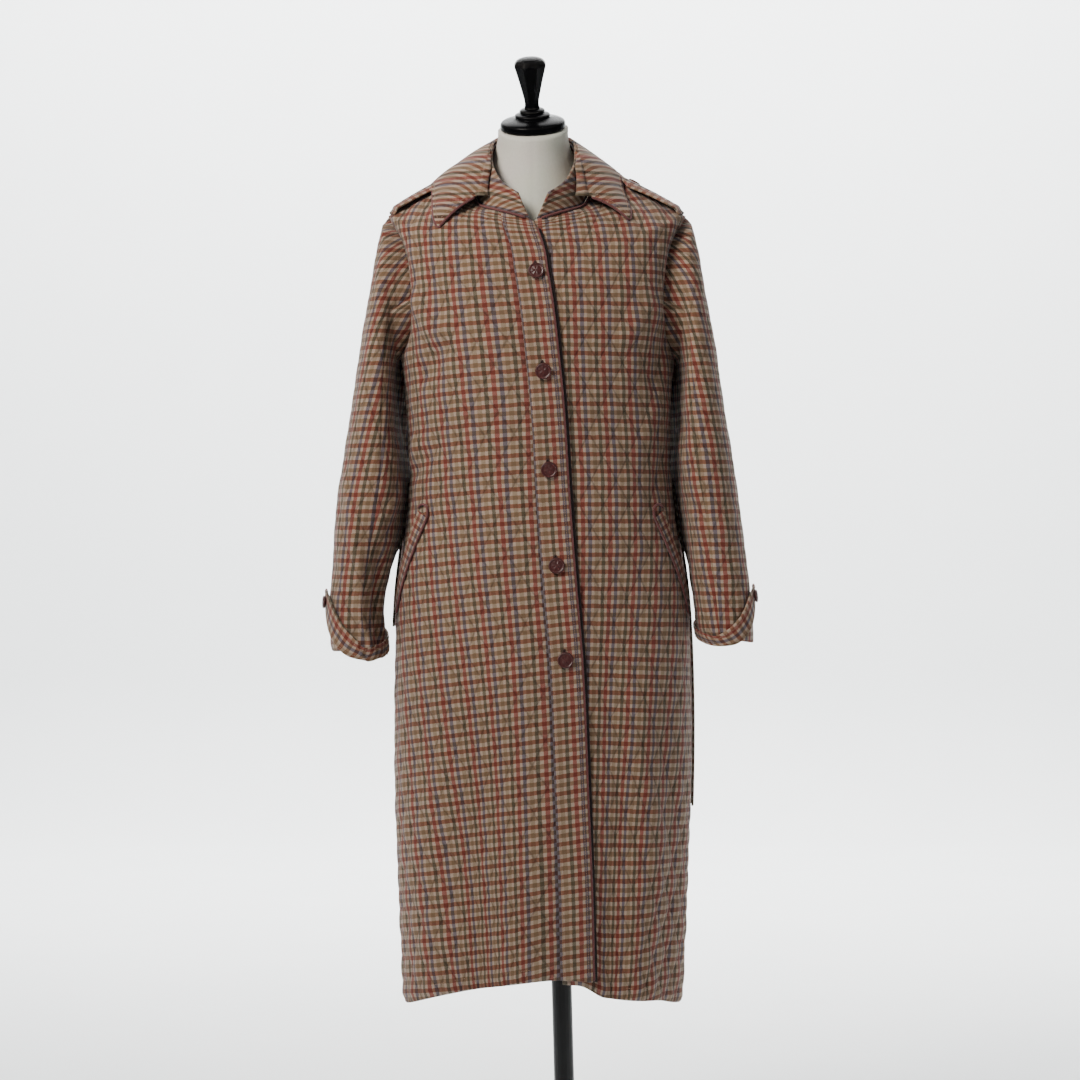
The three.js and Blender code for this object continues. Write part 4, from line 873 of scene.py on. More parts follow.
def by_side(make, u, v):
    """A surface made on each side of the neck: u runs from the wearer's right end to the left."""
    u, v = np.broadcast_arrays(np.asarray(u, float), np.asarray(v, float))
    points = np.zeros(u.shape + (3,))
    for side in (RIGHT, LEFT):
        pick = (u < 0.5) == (side == RIGHT)
        points[pick] = make(side, 1 - np.abs(2 * u[pick] - 1), v[pick])
    return points


def stand_side(side, turn, v):
    """The stand on one side, from the neckline up to its own top edge."""
    at = lambda name: read(STAND, "turn", name, turn)
    around = np.clip(at("around"), 3, 180)
    foot = around_place(side, around, np.full(around.shape, float(NECK_RISE)))[0]
    below = around_place(side, around, np.full(around.shape, NECK_RISE - 4.0))[0]
    up = foot - below
    foot = foot + up / np.linalg.norm(up, axis=-1, keepdims=True) * 1.5
    top = np.stack([COLLAR_X + side * at("topOut"), at("topY"), at("topZ")], -1)
    points = foot + (top - foot) * v[:, None]
    points[:, 0] += side * 2.5 * np.sin(math.pi * v) * np.sin(math.pi * turn)
    points[:, 1] += 1.2 * np.sin(turn * 23) * v
    return points


def collar_wall(name, make, columns, rows, warp_at):
    """One collar piece from its own surface, with a plain inside and plump turned edges."""
    u, v = np.meshgrid(np.linspace(0, 1, columns + 1), np.linspace(0, 1, rows + 1))
    points = by_side(make, u, v)
    normals = grid_normals(points, collar_axis)
    length = lengths_along(points)
    length = length - length[:, columns // 2:columns // 2 + 1]
    height = lengths_along(points.swapaxes(0, 1)).T
    uv = np.stack([warp_at(height, points[..., 2]), length], -1)
    across, along = edge_distance(points)
    seam = np.minimum(across, along)
    relief = (0.5 * wander(uv[..., 0] * 2.4, uv[..., 1] * 1.6, 3.0) * step(seam / 6)
              + 0.5 * np.exp(-(seam / 2.6) ** 2))
    piece = cloth_wall(name, points, normals, uv, plain_check, relief, TRIM_WALL)
    declare(piece, name)
    return points, normals


collar_wall("collar_stand", stand_side, 120, 12, lambda height, z: height + 9)

ROLL = table("turn out y z", [
    [0, 77, -72, 1384], [0.12, 70, -62, 1413], [0.24, 64, -46, 1442],
    [0.42, 58, 0, 1468], [0.7, 39, 49, 1483], [1, 0, 66, 1487]])
LEAF_EDGE = {
    RIGHT: table("turn around rise lift crown", [
        [0, 42.5, 1135, 4, 9], [0.12, 60, 1168, 6, 13], [0.24, 78, 1184, 8.5, 13],
        [0.42, 106, 1186, 8.5, 12], [0.7, 140, 1180, 5, 12], [1, 180, 1174, 5, 16]]),
    LEFT: table("turn around rise lift crown", [
        [0, 46, 1150, 4, 9], [0.12, 64, 1186, 6, 12], [0.24, 79, 1205, 7.5, 9],
        [0.42, 106, 1207, 7.5, 7], [0.7, 140, 1190, 5, 12], [1, 180, 1174, 5, 16]]),
}

# The leaf's first rows climb from the stand to the roll.
LEAF_COLUMNS, LEAF_ROWS, LEAD_ROWS = 150, 36, 6


def leaf_side(side, turn, v):
    """The leaf from the stand's top edge over the roll, and down to its own edge."""
    at = lambda name: read(LEAF_EDGE[side], "turn", name, turn)
    on_stand = np.interp(turn, [0, 0.12, 0.24, 0.42, 0.7, 1], [0.22, 0.27, 0.34, 0.5, 0.76, 1])
    start = stand_side(side, on_stand, 0.35 + 0.65 * step(turn / 0.14))
    outward = start[:, :2] - np.array([COLLAR_X, COLLAR_Y])
    outward = outward / np.linalg.norm(outward, axis=-1, keepdims=True)
    over = step((turn - 0.12) / 0.18)
    start[:, :2] += outward * (3.5 * (1 - over))[:, None]
    start[:, 2] += 1.0 + (TRIM_WALL + 0.5) * over
    on_lifted = 7 * (1 - step(turn / 0.3)) if side == RIGHT else 0
    roll = np.stack([COLLAR_X + side * read(ROLL, "turn", "out", turn),
                     read(ROLL, "turn", "y", turn) - on_lifted, read(ROLL, "turn", "z", turn)], -1)
    edge, normal = around_place(side, np.clip(at("around"), 0, 180), at("rise"))
    edge = edge + normal * at("lift")[:, None]
    away = np.stack([edge[:, 0] - COLLAR_X, edge[:, 1] - COLLAR_Y], -1)
    away = away / np.linalg.norm(away, axis=-1, keepdims=True) * 0.6
    crown = (roll + edge) / 2
    crown += np.concatenate([away, np.full((len(turn), 1), 0.8)], -1) * at("crown")[:, None]
    lead = LEAD_ROWS / LEAF_ROWS
    before, v = np.clip(v / lead, 0, 1)[:, None], np.clip((v - lead) / (1 - lead), 0, 1)[:, None]
    points = roll * (1 - v) ** 2 + crown * 2 * v * (1 - v) + edge * v ** 2
    points += (start - roll) * (1 - before)
    points[:, :2] += outward * (4 * np.sin(math.pi * before[:, 0]) * (1 - over))[:, None]
    # The leaf waves a little where it lies free.
    points[:, 2] += 1.1 * np.sin(turn * 17 + side) * v[:, 0]
    return points


# The leaf's coloured warp lies level round the neck, so it is read from the height.
leaf_points, leaf_normals = collar_wall("collar_leaf", leaf_side, LEAF_COLUMNS, LEAF_ROWS,
                                        lambda height, z: 5.95 - 1.19 * z)

# Piping. A thin cord in burgundy twill, caught in the seam round the leaf, the neckline, the front
# edge and the pockets. Its cover shows fine diagonal ribs.
PIPING_RADIUS = 1.7
piping_twill, tree, shader, place, *_ = toned_material(
    "burgundy_cotton_twill", "#3a1719", "#743a36", 0.12, 4.0, 0.8, "cloth_mm")
# Twill ribs are 0.5 mm apart. They are drawn at 1.6 mm to show.
turned_cloth = node(tree, "ShaderNodeMapping", Vector=place, Rotation=(0, 0, math.radians(35)))
ribs = node(tree, "ShaderNodeTexWave", Vector=turned_cloth, Scale=0.2, Distortion=0.6)
bump = node(tree, "ShaderNodeBump", Height=ribs.outputs["Fac"], Strength=0.5, Distance=0.0004)
plug(tree, shader, Normal=bump, Sheen__Weight=0.2)


def refine(points, pitch):
    """Points at an even pitch on a smooth line through the given ones."""
    points = np.asarray(points, float)
    at = lengths_along(points)
    padded = np.concatenate([2 * points[:1] - points[1:2], points, 2 * points[-1:] - points[-2:-1]])
    want = np.linspace(0, at[-1], max(int(at[-1] / pitch), 4) + 1)
    i = np.clip(np.searchsorted(at, want, side="right") - 1, 0, len(at) - 2)
    t = ((want - at[i]) / (at[i + 1] - at[i]))[:, None]
    p0, p1, p2, p3 = (padded[i + k] for k in range(4))
    return 0.5 * (2 * p1 + (p2 - p0) * t + (2 * p0 - 5 * p1 + 4 * p2 - p3) * t ** 2
                  + (3 * p1 - p0 - 3 * p2 + p3) * t ** 3)


def ring_object(name, points, sides, material, **options):
    """A closed skin over rings of points, flat at both ends, with its faces turned out."""
    rows = len(points) // sides
    faces = [(j * sides + i, j * sides + (i + 1) % sides, (j + 1) * sides + (i + 1) % sides,
              (j + 1) * sides + i) for j in range(rows - 1) for i in range(sides)]
    faces += [tuple(range(sides))[::-1], tuple((rows - 1) * sides + i for i in range(sides))]
    made = mesh_object(name, points, faces, material, **options)
    work = bmesh.new()
    work.from_mesh(made.data)
    bmesh.ops.recalc_face_normals(work, faces=work.faces)
    work.to_mesh(made.data)
    work.free()
    return made


def tube(name, line, radius, material, sides=10, taper=2.0):
    """A closed round cord along a line, with its ends drawn in."""
    along = np.gradient(line, axis=0)
    along /= np.linalg.norm(along, axis=-1, keepdims=True)
    over = np.cross(along, [0.13, 0.27, 0.95])
    over /= np.linalg.norm(over, axis=-1, keepdims=True)
    up = np.cross(over, along)
    at = lengths_along(line)
    ends = np.minimum(at, at[-1] - at) / (taper * radius)
    size = radius * np.sqrt(np.clip(1 - (1 - np.clip(ends, 0, 1)) ** 2, 0.04, 1))
    turn = np.linspace(0, 2 * math.pi, sides, endpoint=False)
    ring = over[:, None] * np.cos(turn)[None, :, None] + up[:, None] * np.sin(turn)[None, :, None]
    points = (line[:, None] + ring * size[:, None, None]).reshape(-1, 3)
    uv = np.stack([np.tile(turn * radius, len(line)), np.repeat(at, sides)], -1)
    return ring_object(name, points, sides, material, uv=uv)


def piping(name, line):
    """One run of piping along a line."""
    cord = tube(name, refine(line, 3.0), PIPING_RADIUS, piping_twill)
    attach(cord, "root")
    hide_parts(name)


# Round the leaf's three free edges, in the middle of its thickness.
offset_out = PIPING_RADIUS + 0.2
leaf_middle = leaf_points - leaf_normals * TRIM_WALL / 2


def past_edge(j, i, back_j, back_i):
    """Places just past an edge of the leaf, on the line from a place further in."""
    away = leaf_middle[j, i] - leaf_middle[back_j, back_i]
    return leaf_middle[j, i] + away / np.linalg.norm(away, axis=-1, keepdims=True) * offset_out


rows_up = np.arange(LEAD_ROWS + 1, LEAF_ROWS + 1)
columns_across = np.arange(1, LEAF_COLUMNS)
piping("collar_piping", np.concatenate([
    past_edge(rows_up, 0, rows_up, 2),
    past_edge(LEAF_ROWS, columns_across, LEAF_ROWS - 2, columns_across),
    past_edge(rows_up[::-1], LEAF_COLUMNS, rows_up[::-1], LEAF_COLUMNS - 2)]))

for word, side in SIDES:
    line, way = around_place(side, np.linspace(5, 78, 24), np.full(24, NECK_RISE - 3.0))
    piping(f"{word}_neck_piping", line + way * (PIPING_RADIUS + 0.5))

edge_line, edge_way = placket_grid[0][:-4:3, 0], placket_grid[1][:-4:3, 0]
piping("front_edge_piping", edge_line - edge_way * COAT_WALL / 2 + np.array([offset_out + 0.5, 0, 0]))

# Gap shadow. A near-black strip lies under the front's edge as painted shade for the shadow in the gap
# between the right front and the left one. It rolls out a little past the piped edge, and that is all of it
# that shows.
# Painted shade: a near-black burgundy colour stands in for the shadow under the lapped front edge.
gap_shadow_paint = toned_material("painted_gap_shadow", "#120707", "#231010", 0.15, 4.0, 0.85, "cloth_mm")[0]
SHADOW_IN, SHADOW_OUT, SHADOW_WALL = -9, 7.6, 1.0
edge_points, edge_normals = placket_grid[0][:-6:2, 0], placket_grid[1][:-6:2, 0]
outward = edge_points - placket_grid[0][:-6:2, 2]
outward /= np.linalg.norm(outward, axis=-1, keepdims=True)
reach = np.linspace(SHADOW_IN, SHADOW_OUT, 8)
gap_shadow_points = ((edge_points - edge_normals * (COAT_WALL + 0.7))[:, None]
                 + outward[:, None] * reach[None, :, None])
gap_shadow_normals = np.repeat(edge_normals[:, None], len(reach), 1)
gap_shadow_uv = np.stack(np.broadcast_arrays(reach[None, :], lengths_along(edge_points)[:, None]), -1)
gap_shadow = cloth_wall("front_gap_shadow", gap_shadow_points, gap_shadow_normals, gap_shadow_uv, gap_shadow_paint,
                    wall=SHADOW_WALL, turned_edge=0.4)
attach(gap_shadow, "root")


# Epaulettes, pocket welts, cuff straps, belt and belt loops. Double strips of the unquilted check,
# turned through and topstitched, with their edges left plump.
def surface_strip(name, place, columns, rows, off, wall=TRIM_WALL, phase=(0, 0)):
    """A strip on a surface function of two numbers from 0 to 1 that gives points and normals."""
    u, v = np.meshgrid(np.linspace(0, 1, columns + 1), np.linspace(0, 1, rows + 1))
    points, normals = place(u, v)
    points = points + normals * (off + wall)
    length = lengths_along(points.swapaxes(0, 1)).T
    width = lengths_along(points)
    uv = np.stack([width - width[:, columns // 2:columns // 2 + 1] + phase[0], length + phase[1]], -1)
    across, along = edge_distance(points)
    seam = np.minimum(across, along)
    relief = (0.25 * wander(uv[..., 0] * 3, uv[..., 1] * 2, 5.0) * step(seam / 5)
              - 0.35 * np.exp(-((seam - 5) / 1.2) ** 2))
    piece = cloth_wall(name, points, normals, uv, plain_check, relief, wall, turned_edge=0.3)
    declare(piece, name)
    return points, normals


stitch_paths = []


def stitch_inside(points, normals, inset, sides="lrbt", lift=0.15):
    """Keeps topstitching paths at a distance inside the left, right, bottom or top edge of a grid."""
    for where in sides:
        # The grid is turned so that each of its rows runs in from the edge.
        upright = where in "lr"
        strip, lean = (points, normals) if upright else (points.swapaxes(0, 1), normals.swapaxes(0, 1))
        line, way = [], []
        for k, run in enumerate(lengths_along(strip)):
            far = inset if where in "lb" else run[-1] - inset
            line.append([np.interp(far, run, strip[k, :, n]) for n in range(3)])
            way.append([np.interp(far, run, lean[k, :, n]) for n in range(3)])
        line, way = np.array(line), np.array(way)
        run = lengths_along(line)
        keep = (run > inset) & (run < run[-1] - inset)
        if keep.sum() > 3:
            stitch_paths.append(line[keep] + way[keep] * lift)


EPAULETTE_END, EPAULETTE_AHEAD = 1210, 15
for word, side in SIDES:
    def place(u, v, side=side):
        half = (23 - 4 * v) * np.where(v > 0.85, 1 - 0.75 * (v - 0.85) / 0.15, 1)
        distance = half * (2 * u - 1) - EPAULETTE_AHEAD
        rise = TIP_RISE + 4 + (EPAULETTE_END - TIP_RISE - 4) * v
        points, normals = beside_seam(side, distance, rise)
        return points + normals * (5.0 * step((2 - distance) / 24) * step(v / 0.1))[..., None], normals
    grid = surface_strip(f"{word}_epaulette", place, 16, 40, 2.2, phase=(19, 11))
    stitch_inside(*grid, 5, "lr")
POCKET = {"top": 80.0, "top_z": 946.0, "foot": 22.0, "foot_z": 812.0, "half": 10.0, "arch": 158}


def pocket_place(side, along, across):
    """A place on the slanted pocket, along it from its top and across it in mm."""
    down, fall = POCKET["top"] - POCKET["foot"], POCKET["foot_z"] - POCKET["top_z"]
    long = math.hypot(down, fall)
    return side_place(side, -POCKET["top"] + down * along + fall / long * across,
                      POCKET["top_z"] + fall * along - down / long * across)


for word, side in SIDES:
    grid = surface_strip(
        f"{word}_pocket_welt", lambda u, v, side=side: pocket_place(side, v, POCKET["half"] * (2 * u - 1)),
        8, 48, 2.7, wall=2.0, phase=(4, 3))
    stitch_inside(*grid, 4, "l")
    # The piping runs up beside the welt and turns over its top end.
    beside = POCKET["half"] + PIPING_RADIUS + 0.5
    arch = [(1 - t, beside) for t in np.linspace(0, 1, 14)]
    for t in np.linspace(0, 1, 8)[1:]:
        turn = math.pi * (t + 0.2) / 1.2
        arch.append((-beside * math.sin(turn) / POCKET["arch"] - 0.01, beside * math.cos(turn)))
    arch = np.array(arch)
    line, way = pocket_place(side, arch[:, 0], arch[:, 1])
    piping(f"{word}_pocket_piping", line + way * (1.8 + 0.3 + PIPING_RADIUS))

STRAP = table("turn v off", [
    [-0.03, 15.3, 6], [0.06, 16, 3.6], [0.16, 17.5, 4], [0.27, 18.75, 6],
    [0.4, 18.8, 2.6], [0.55, 18.2, 2.4], [0.72, 17.4, 3], [0.9, 17, 3]])
STRAP_START, STRAP_TURN, STRAP_HALF = -0.03, 0.93, {RIGHT: 14.0, LEFT: 11.5}
CUFF_GIRTH, SLEEVE_STEP = 250.0, 34.0


def strap_place(side, along, across):
    """The strap's middle line round the cuff, and a distance across it in mm."""
    turn = STRAP_START + STRAP_TURN * np.asarray(along, float)
    at = lambda name, here: read(STRAP, "turn", name, here.ravel()).reshape(here.shape)
    slope = (at("v", turn + 0.05) - at("v", turn - 0.05)) / 0.1 * SLEEVE_STEP / CUFF_GIRTH
    run = np.sqrt(1 + slope ** 2)
    v = at("v", turn) + across / run / SLEEVE_STEP
    off = at("off", turn)
    turn = turn - across * slope / run / CUFF_GIRTH
    normal = sleeve_normal(side, turn, v)
    return sleeve_point(side, turn, v, folds=False) + normal * off[..., None], normal


for word, side in SIDES:
    def place(u, v, side=side):
        return strap_place(side, v, STRAP_HALF[side] * (2 * u - 1) * (0.3 + 0.7 * step(v / 0.06)))
    grid = surface_strip(f"{word}_cuff_strap", place, 12, 120, 0.4,
                         phase=(9, 0))
    stitch_inside(*grid, 5, "lr")

BELT = {"hang": 23.0, "bend": 24.0, "right_end": 789.0, "left_end": 538.0, "waist": 985.0, "width": 40.0}
back_line = body_point(BACK, RIGHT, np.array([[BELT["waist"] - HEM_Z]]),
                       np.linspace(0, QUARTER, 97)[None], folds=False)
BACK_WIDTH = 2 * lengths_along(back_line)[0, -1]


def belt_place(along, across):
    """The belt's middle line, from its right end up, round the back at the waist and down again."""
    along, across = np.broadcast_arrays(np.asarray(along, float), np.asarray(across, float))
    hang, bend = BELT["hang"], BELT["bend"]
    top = BELT["waist"] - bend
    right_run, left_run, arc = top - BELT["right_end"], top - BELT["left_end"], bend * QUARTER
    middle = BACK_WIDTH - 2 * (hang + bend)
    total = right_run + left_run + 2 * arc + middle
    at = along * total
    points, normals = np.zeros(along.shape + (3,)), np.zeros(along.shape + (3,))
    for side, run, end_z in ((RIGHT, right_run, BELT["right_end"]), (LEFT, left_run, BELT["left_end"])):
        pick = (at < right_run + arc + middle / 2) == (side == RIGHT)
        here, over = np.where(side == RIGHT, at, total - at)[pick], across[pick]
        turn = np.clip((here - run) / bend, 0, QUARTER)
        radius = bend + over
        past = np.clip(here - run - arc, 0, None)
        distance = np.where(here <= run, hang - over, hang + bend - radius * np.cos(turn) + past)
        z = np.where(here <= run, end_z + here, top + radius * np.sin(turn))
        points[pick], normals[pick] = side_place(side, distance, z)
        # The hanging end turns out a little at its back edge.
        lift = BELT_LIFT * (0.5 - over / BELT["width"]) * step((run - here) / 60)
        points[pick] += normals[pick] * lift[:, None]
    return points, normals


BELT_LIFT = 7.0
grid = surface_strip("belt", lambda u, v: belt_place(v, BELT["width"] * (u - 0.5)), 12, 300, 3.4,
                     phase=(7, 5))
stitch_inside(*grid, 5, "lr")

LOOP = table("up off", [
    [-30, -0.4], [-25.5, -0.2], [-22, 4.4], [0, 4.4], [22, 4.4], [25.5, -0.2], [30, -0.4]])
LOOP_AWAY, LOOP_WIDE = 52, 10
for word, side in SIDES:
    def place(u, v, side=side):
        up = np.interp(v, np.linspace(0, 1, 7), LOOP["up"])
        points, normals = side_place(side, LOOP_AWAY + LOOP_WIDE * u, BELT["waist"] + up)
        return points + normals * (1.8 + np.interp(up, LOOP["up"], LOOP["off"]))[..., None], normals
    surface_strip(f"{word}_belt_loop", place, 4, 36, 0.2, wall=2.0)

# Buttons. Turned in dark burgundy plastic with a raised rim round a low textured dome, and sewn on
# through a shank, so that they stand a little off the cloth.
BUTTON_TALL, BUTTON_SIDES = 4.2, 48
button_plastic, tree, shader, place, *_ = toned_material(
    "burgundy_casein_plastic", "#2a0a0a", "#4e1915", 160.0, 4.0, (0.28, 0.5))
# Moulded grain of about 1.2 mm.
grain = node(tree, "ShaderNodeTexVoronoi", Vector=place, Scale=800.0)
bump = node(tree, "ShaderNodeBump", Height=grain.outputs["Distance"], Strength=0.25, Distance=0.0004)
plug(tree, shader, Normal=bump, IOR=1.5)


def turned_points(profile, sides, ripple=None):
    """Rings round +Z from a profile of (radius, height)."""
    turn = np.linspace(0, 2 * math.pi, sides, endpoint=False)
    rings = []
    for radius, height in profile:
        lift = 0 if ripple is None else ripple(radius, turn)
        rings.append(np.stack([radius * np.cos(turn), radius * np.sin(turn),
                               np.full(sides, height) + lift], -1))
    return np.concatenate(rings)


def placed(points, at, normal, spin=0.0):
    """Carries points made round +Z to a place, with +Z along a normal and +Y close to upward."""
    normal = np.asarray(normal, float) / np.linalg.norm(normal)
    side = np.cross([0, 0, 1.0], normal) if abs(normal[2]) < 0.95 else np.cross([0, 1.0, 0], normal)
    side /= np.linalg.norm(side)
    turn = np.array([[math.cos(spin), -math.sin(spin)], [math.sin(spin), math.cos(spin)]])
    plane = np.stack([side, np.cross(normal, side)], -1) @ turn
    return np.asarray(at) + points[:, :2] @ plane.T + points[:, 2:] * normal


def button(name, radius, at, normal, spin):
    """A rim round a dome with a low ring of leaf-like lobes, on a short shank."""
    inner = radius - 2.6
    profile = [(1.6, 0.2), (2.4, 0.9), (radius - 1.4, 1.0), (radius - 0.4, 1.5), (radius, 2.3),
               (radius - 0.15, 3.3), (radius - 0.8, 4.0), (radius - 1.4, BUTTON_TALL), (radius - 2.0, 4.0),
               (inner, 3.3)]
    profile += [(inner * s, 3.2 + 0.95 * (1 - s * s)) for s in (0.86, 0.7, 0.54, 0.38, 0.24, 0.1)]
    lobes = lambda r, turn: np.where(
        r < inner, 0.28 * np.cos(6 * turn) * math.sin(math.pi * min(r / inner, 1)) ** 2, 0)
    points = placed(turned_points(profile, BUTTON_SIDES, lobes), at, normal, spin)
    made = ring_object(name, points, BUTTON_SIDES, button_plastic)
    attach(made, "root")
    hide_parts(name)


FRONT_BUTTONS = ((-43, 1274), (-33.7, 1138), (-26.3, 1005), (-16.2, 875), (-4.7, 748))
for k, (x, z) in enumerate(FRONT_BUTTONS):
    at, out = front_place(RIGHT, x, z, True)
    button(f"front_button_{k + 1}", 11.0, at + out * 1.3, out, 0.7 * k)
for word, side, rise in (("right", RIGHT, 1207), ("left", LEFT, 1190)):
    at, out = beside_seam(side, 0, rise)
    button(f"{word}_epaulette_button", 9.0, at + out * 5.2, out, 0.4)
    at, out = strap_place(side, np.array([0.09]), np.array([0.0]))
    button(f"{word}_cuff_button", 9.0, at[0] + out[0] * 3.1, out[0], 0.9)
stand_u, stand_v = 0.03, 0.78
stand_at = by_side(stand_side, np.array([stand_u]), np.array([stand_v]))[0]
beside = by_side(stand_side, np.array([stand_u - 0.01, stand_u + 0.01, stand_u, stand_u]),
                 np.array([stand_v, stand_v, stand_v - 0.05, stand_v + 0.05]))
out = np.cross(beside[1] - beside[0], beside[3] - beside[2])
out /= np.linalg.norm(out)
out *= -np.sign(np.dot(out, stand_at - np.array([COLLAR_X, COLLAR_Y, stand_at[2] - 30])))
button("collar_button", 6.0, stand_at + out * 3.8, out, 0.2)

# Buttonholes. Keyholes cut upright through the placket above each button, with their lips worked in
# burgundy thread. Only the round end shows over the button's rim.
hole_thread = toned_material("burgundy_buttonhole_thread", "#23100f", "#54302b", 900.0, 2.0, 0.7)[0]
dark_slit = toned_material("shaded_wadding", "#050404", "#171110", 700.0, 3.0, 0.95)[0]
HOLE_LONG, HOLE_HALF, HOLE_OFF = 10.0, 1.9, 0.5


def keyhole(name, x, z):
    """A worked oval lip on the right front, with the dark slit inside it."""
    turn = np.linspace(0, 2 * math.pi, 36)
    path = []
    for dx, dz in zip(HOLE_HALF * np.cos(turn), HOLE_LONG / 2 * power(np.sin(turn), 0.7)):
        at, way = front_place(RIGHT, x + dx, z + dz, True)
        path.append(at + way * HOLE_OFF)
    lip = tube(name + "_lip", np.array(path), 0.75, hole_thread, sides=6, taper=0.1)
    slit = np.array([[0.45 * (HOLE_HALF - 0.2) * np.cos(t), (HOLE_LONG / 2 - 0.6) * np.sin(t), h]
                     for h in (-0.6, 0.35) for t in turn[:-1]])
    at, way = front_place(RIGHT, x, z, True)
    gap = ring_object(name + "_slit", placed(slit, at + way * HOLE_OFF, way), len(turn) - 1, dark_slit)
    for piece in (lip, gap):
        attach(piece, "root")


for k, (x, z) in enumerate(FRONT_BUTTONS):
    keyhole(f"buttonhole_{k + 1}", x - 1.4, z + 9.5)

# Topstitching. Machine stitches in a light tan thread, 3.4 mm long, a run inside each turned edge.
# Geometry Nodes set the stitches out along the paths and turn each to lie flat.
STITCH_PITCH, STITCH_LONG, STITCH_THICK = 3.4, 2.5, 0.42
stitch_thread = toned_material("tan_polyester_thread", "#6d4a3b", "#a58468", 800.0, 1.0, 0.55)[0]


def stitch_tree():
    """Geometry Nodes: even stitches along the edges of a mesh line."""
    group = bpy.data.node_groups.new("topstitch", "GeometryNodeTree")
    face = group.interface
    face.new_socket("Geometry", in_out="INPUT", socket_type="NodeSocketGeometry")
    for name, value in (("Pitch", STITCH_PITCH * MM), ("Stitch length", STITCH_LONG * MM),
                        ("Thread thickness", STITCH_THICK * MM)):
        socket = face.new_socket(name, in_out="INPUT", socket_type="NodeSocketFloat")
        socket.default_value = value
    socket = face.new_socket("Thread", in_out="INPUT", socket_type="NodeSocketMaterial")
    face.new_socket("Geometry", in_out="OUTPUT", socket_type="NodeSocketGeometry")
    into = node(group, "NodeGroupInput")
    paths = node(group, "GeometryNodeMeshToCurve", Mesh=into.outputs["Geometry"])
    spaced = node(group, "GeometryNodeResampleCurve", {"mode": "LENGTH"}, Curve=paths.outputs[0],
                  Length=into.outputs["Pitch"])
    heading = node(group, "GeometryNodeInputTangent")
    turned = node(group, "FunctionNodeAlignRotationToVector", {"axis": "Z"}, Vector=heading.outputs[0])
    stub = node(group, "GeometryNodeMeshCylinder", {"fill_type": "NGON"}, Vertices=5, Side__Segments=3,
                Radius=into.outputs["Thread thickness"], Depth=into.outputs["Stitch length"])
    # Each stitch bows into the cloth at both ends.
    where = node(group, "GeometryNodeInputPosition")
    split = node(group, "ShaderNodeSeparateXYZ", Vector=where)
    share = node(group, MATH, OVER, _0=split.outputs["Z"], _1=into.outputs["Stitch length"])
    drawn_in = node(group, MATH, TIMES, _0=node(group, MATH, TIMES, _0=share, _1=share), _1=2.2)
    shrink = node(group, MATH, {"operation": "SUBTRACT"}, _0=1.0, _1=drawn_in)
    thin = node(group, "ShaderNodeCombineXYZ", X=node(group, MATH, TIMES, _0=split.outputs["X"], _1=shrink),
                Y=node(group, MATH, TIMES, _0=split.outputs["Y"], _1=shrink), Z=split.outputs["Z"])
    bowed = node(group, "GeometryNodeSetPosition", Geometry=stub.outputs["Mesh"], Position=thin.outputs[0])
    dots = node(group, "GeometryNodeInstanceOnPoints", Points=spaced.outputs[0], Instance=bowed.outputs[0],
                Rotation=turned.outputs[0])
    real = node(group, "GeometryNodeRealizeInstances", Geometry=dots.outputs[0])
    coloured = node(group, "GeometryNodeSetMaterial", Geometry=real, Material=into.outputs["Thread"])
    node(group, "NodeGroupOutput", _0=coloured.outputs[0])
    return group


topstitch = stitch_tree()
# The placket's two stitched lines, the left front's edge, both hems and the leaf's edge.
stitch_inside(*placket_grid, 5.0, "l", 0.5)
stitch_inside(*placket_grid, 3.2, "r", 0.5)
stitch_inside(*left_grid, 6.0, "l", 0.5)
for grid in (right_grid, placket_grid, left_grid, back_grid):
    stitch_inside(*grid, 16.0, "b", 1.3)
stitch_inside(leaf_points, leaf_normals, 5.0, "lrt", 0.5)


def stitched(name, paths):
    """One mesh of stitches along all the kept paths."""
    points, edges = [], []
    for line in paths:
        first = len(points)
        points.extend(line.tolist())
        edges.extend((first + i, first + i + 1) for i in range(len(line) - 1))
    mesh = bpy.data.meshes.new(name + "_paths")
    mesh.from_pydata((np.array(points) * MM).tolist(), edges, [])
    carrier = bpy.data.objects.new(name + "_paths", mesh)
    bpy.context.collection.objects.link(carrier)
    modifier = carrier.modifiers.new("topstitch", "NODES")
    modifier.node_group = topstitch
    for item in topstitch.interface.items_tree:
        if item.in_out == "INPUT" and item.name == "Thread":
            modifier[item.identifier] = stitch_thread
    evaluated = carrier.evaluated_get(bpy.context.evaluated_depsgraph_get())
    real = bpy.data.meshes.new_from_object(evaluated)
    made = bpy.data.objects.new(name, real)
    bpy.context.collection.objects.link(made)
    bpy.data.objects.remove(carrier)
    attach(made, "root")


stitched("topstitching", stitch_paths)

# Torso. A moulded shell covered in plain off-white canvas, sewn in upright panels with a neck. It
# fills the coat's shoulders, chest and hips, and only its neck shows.
canvas, tree, shader, place, slub, tone = toned_material(
    "off_white_cotton_canvas", "#cdc7ba", "#dcd7cb", 0.3, 5.0, 0.85, "cloth_mm")
on_object = node(tree, "ShaderNodeTexCoord")
split = node(tree, "ShaderNodeSeparateXYZ", Vector=place)
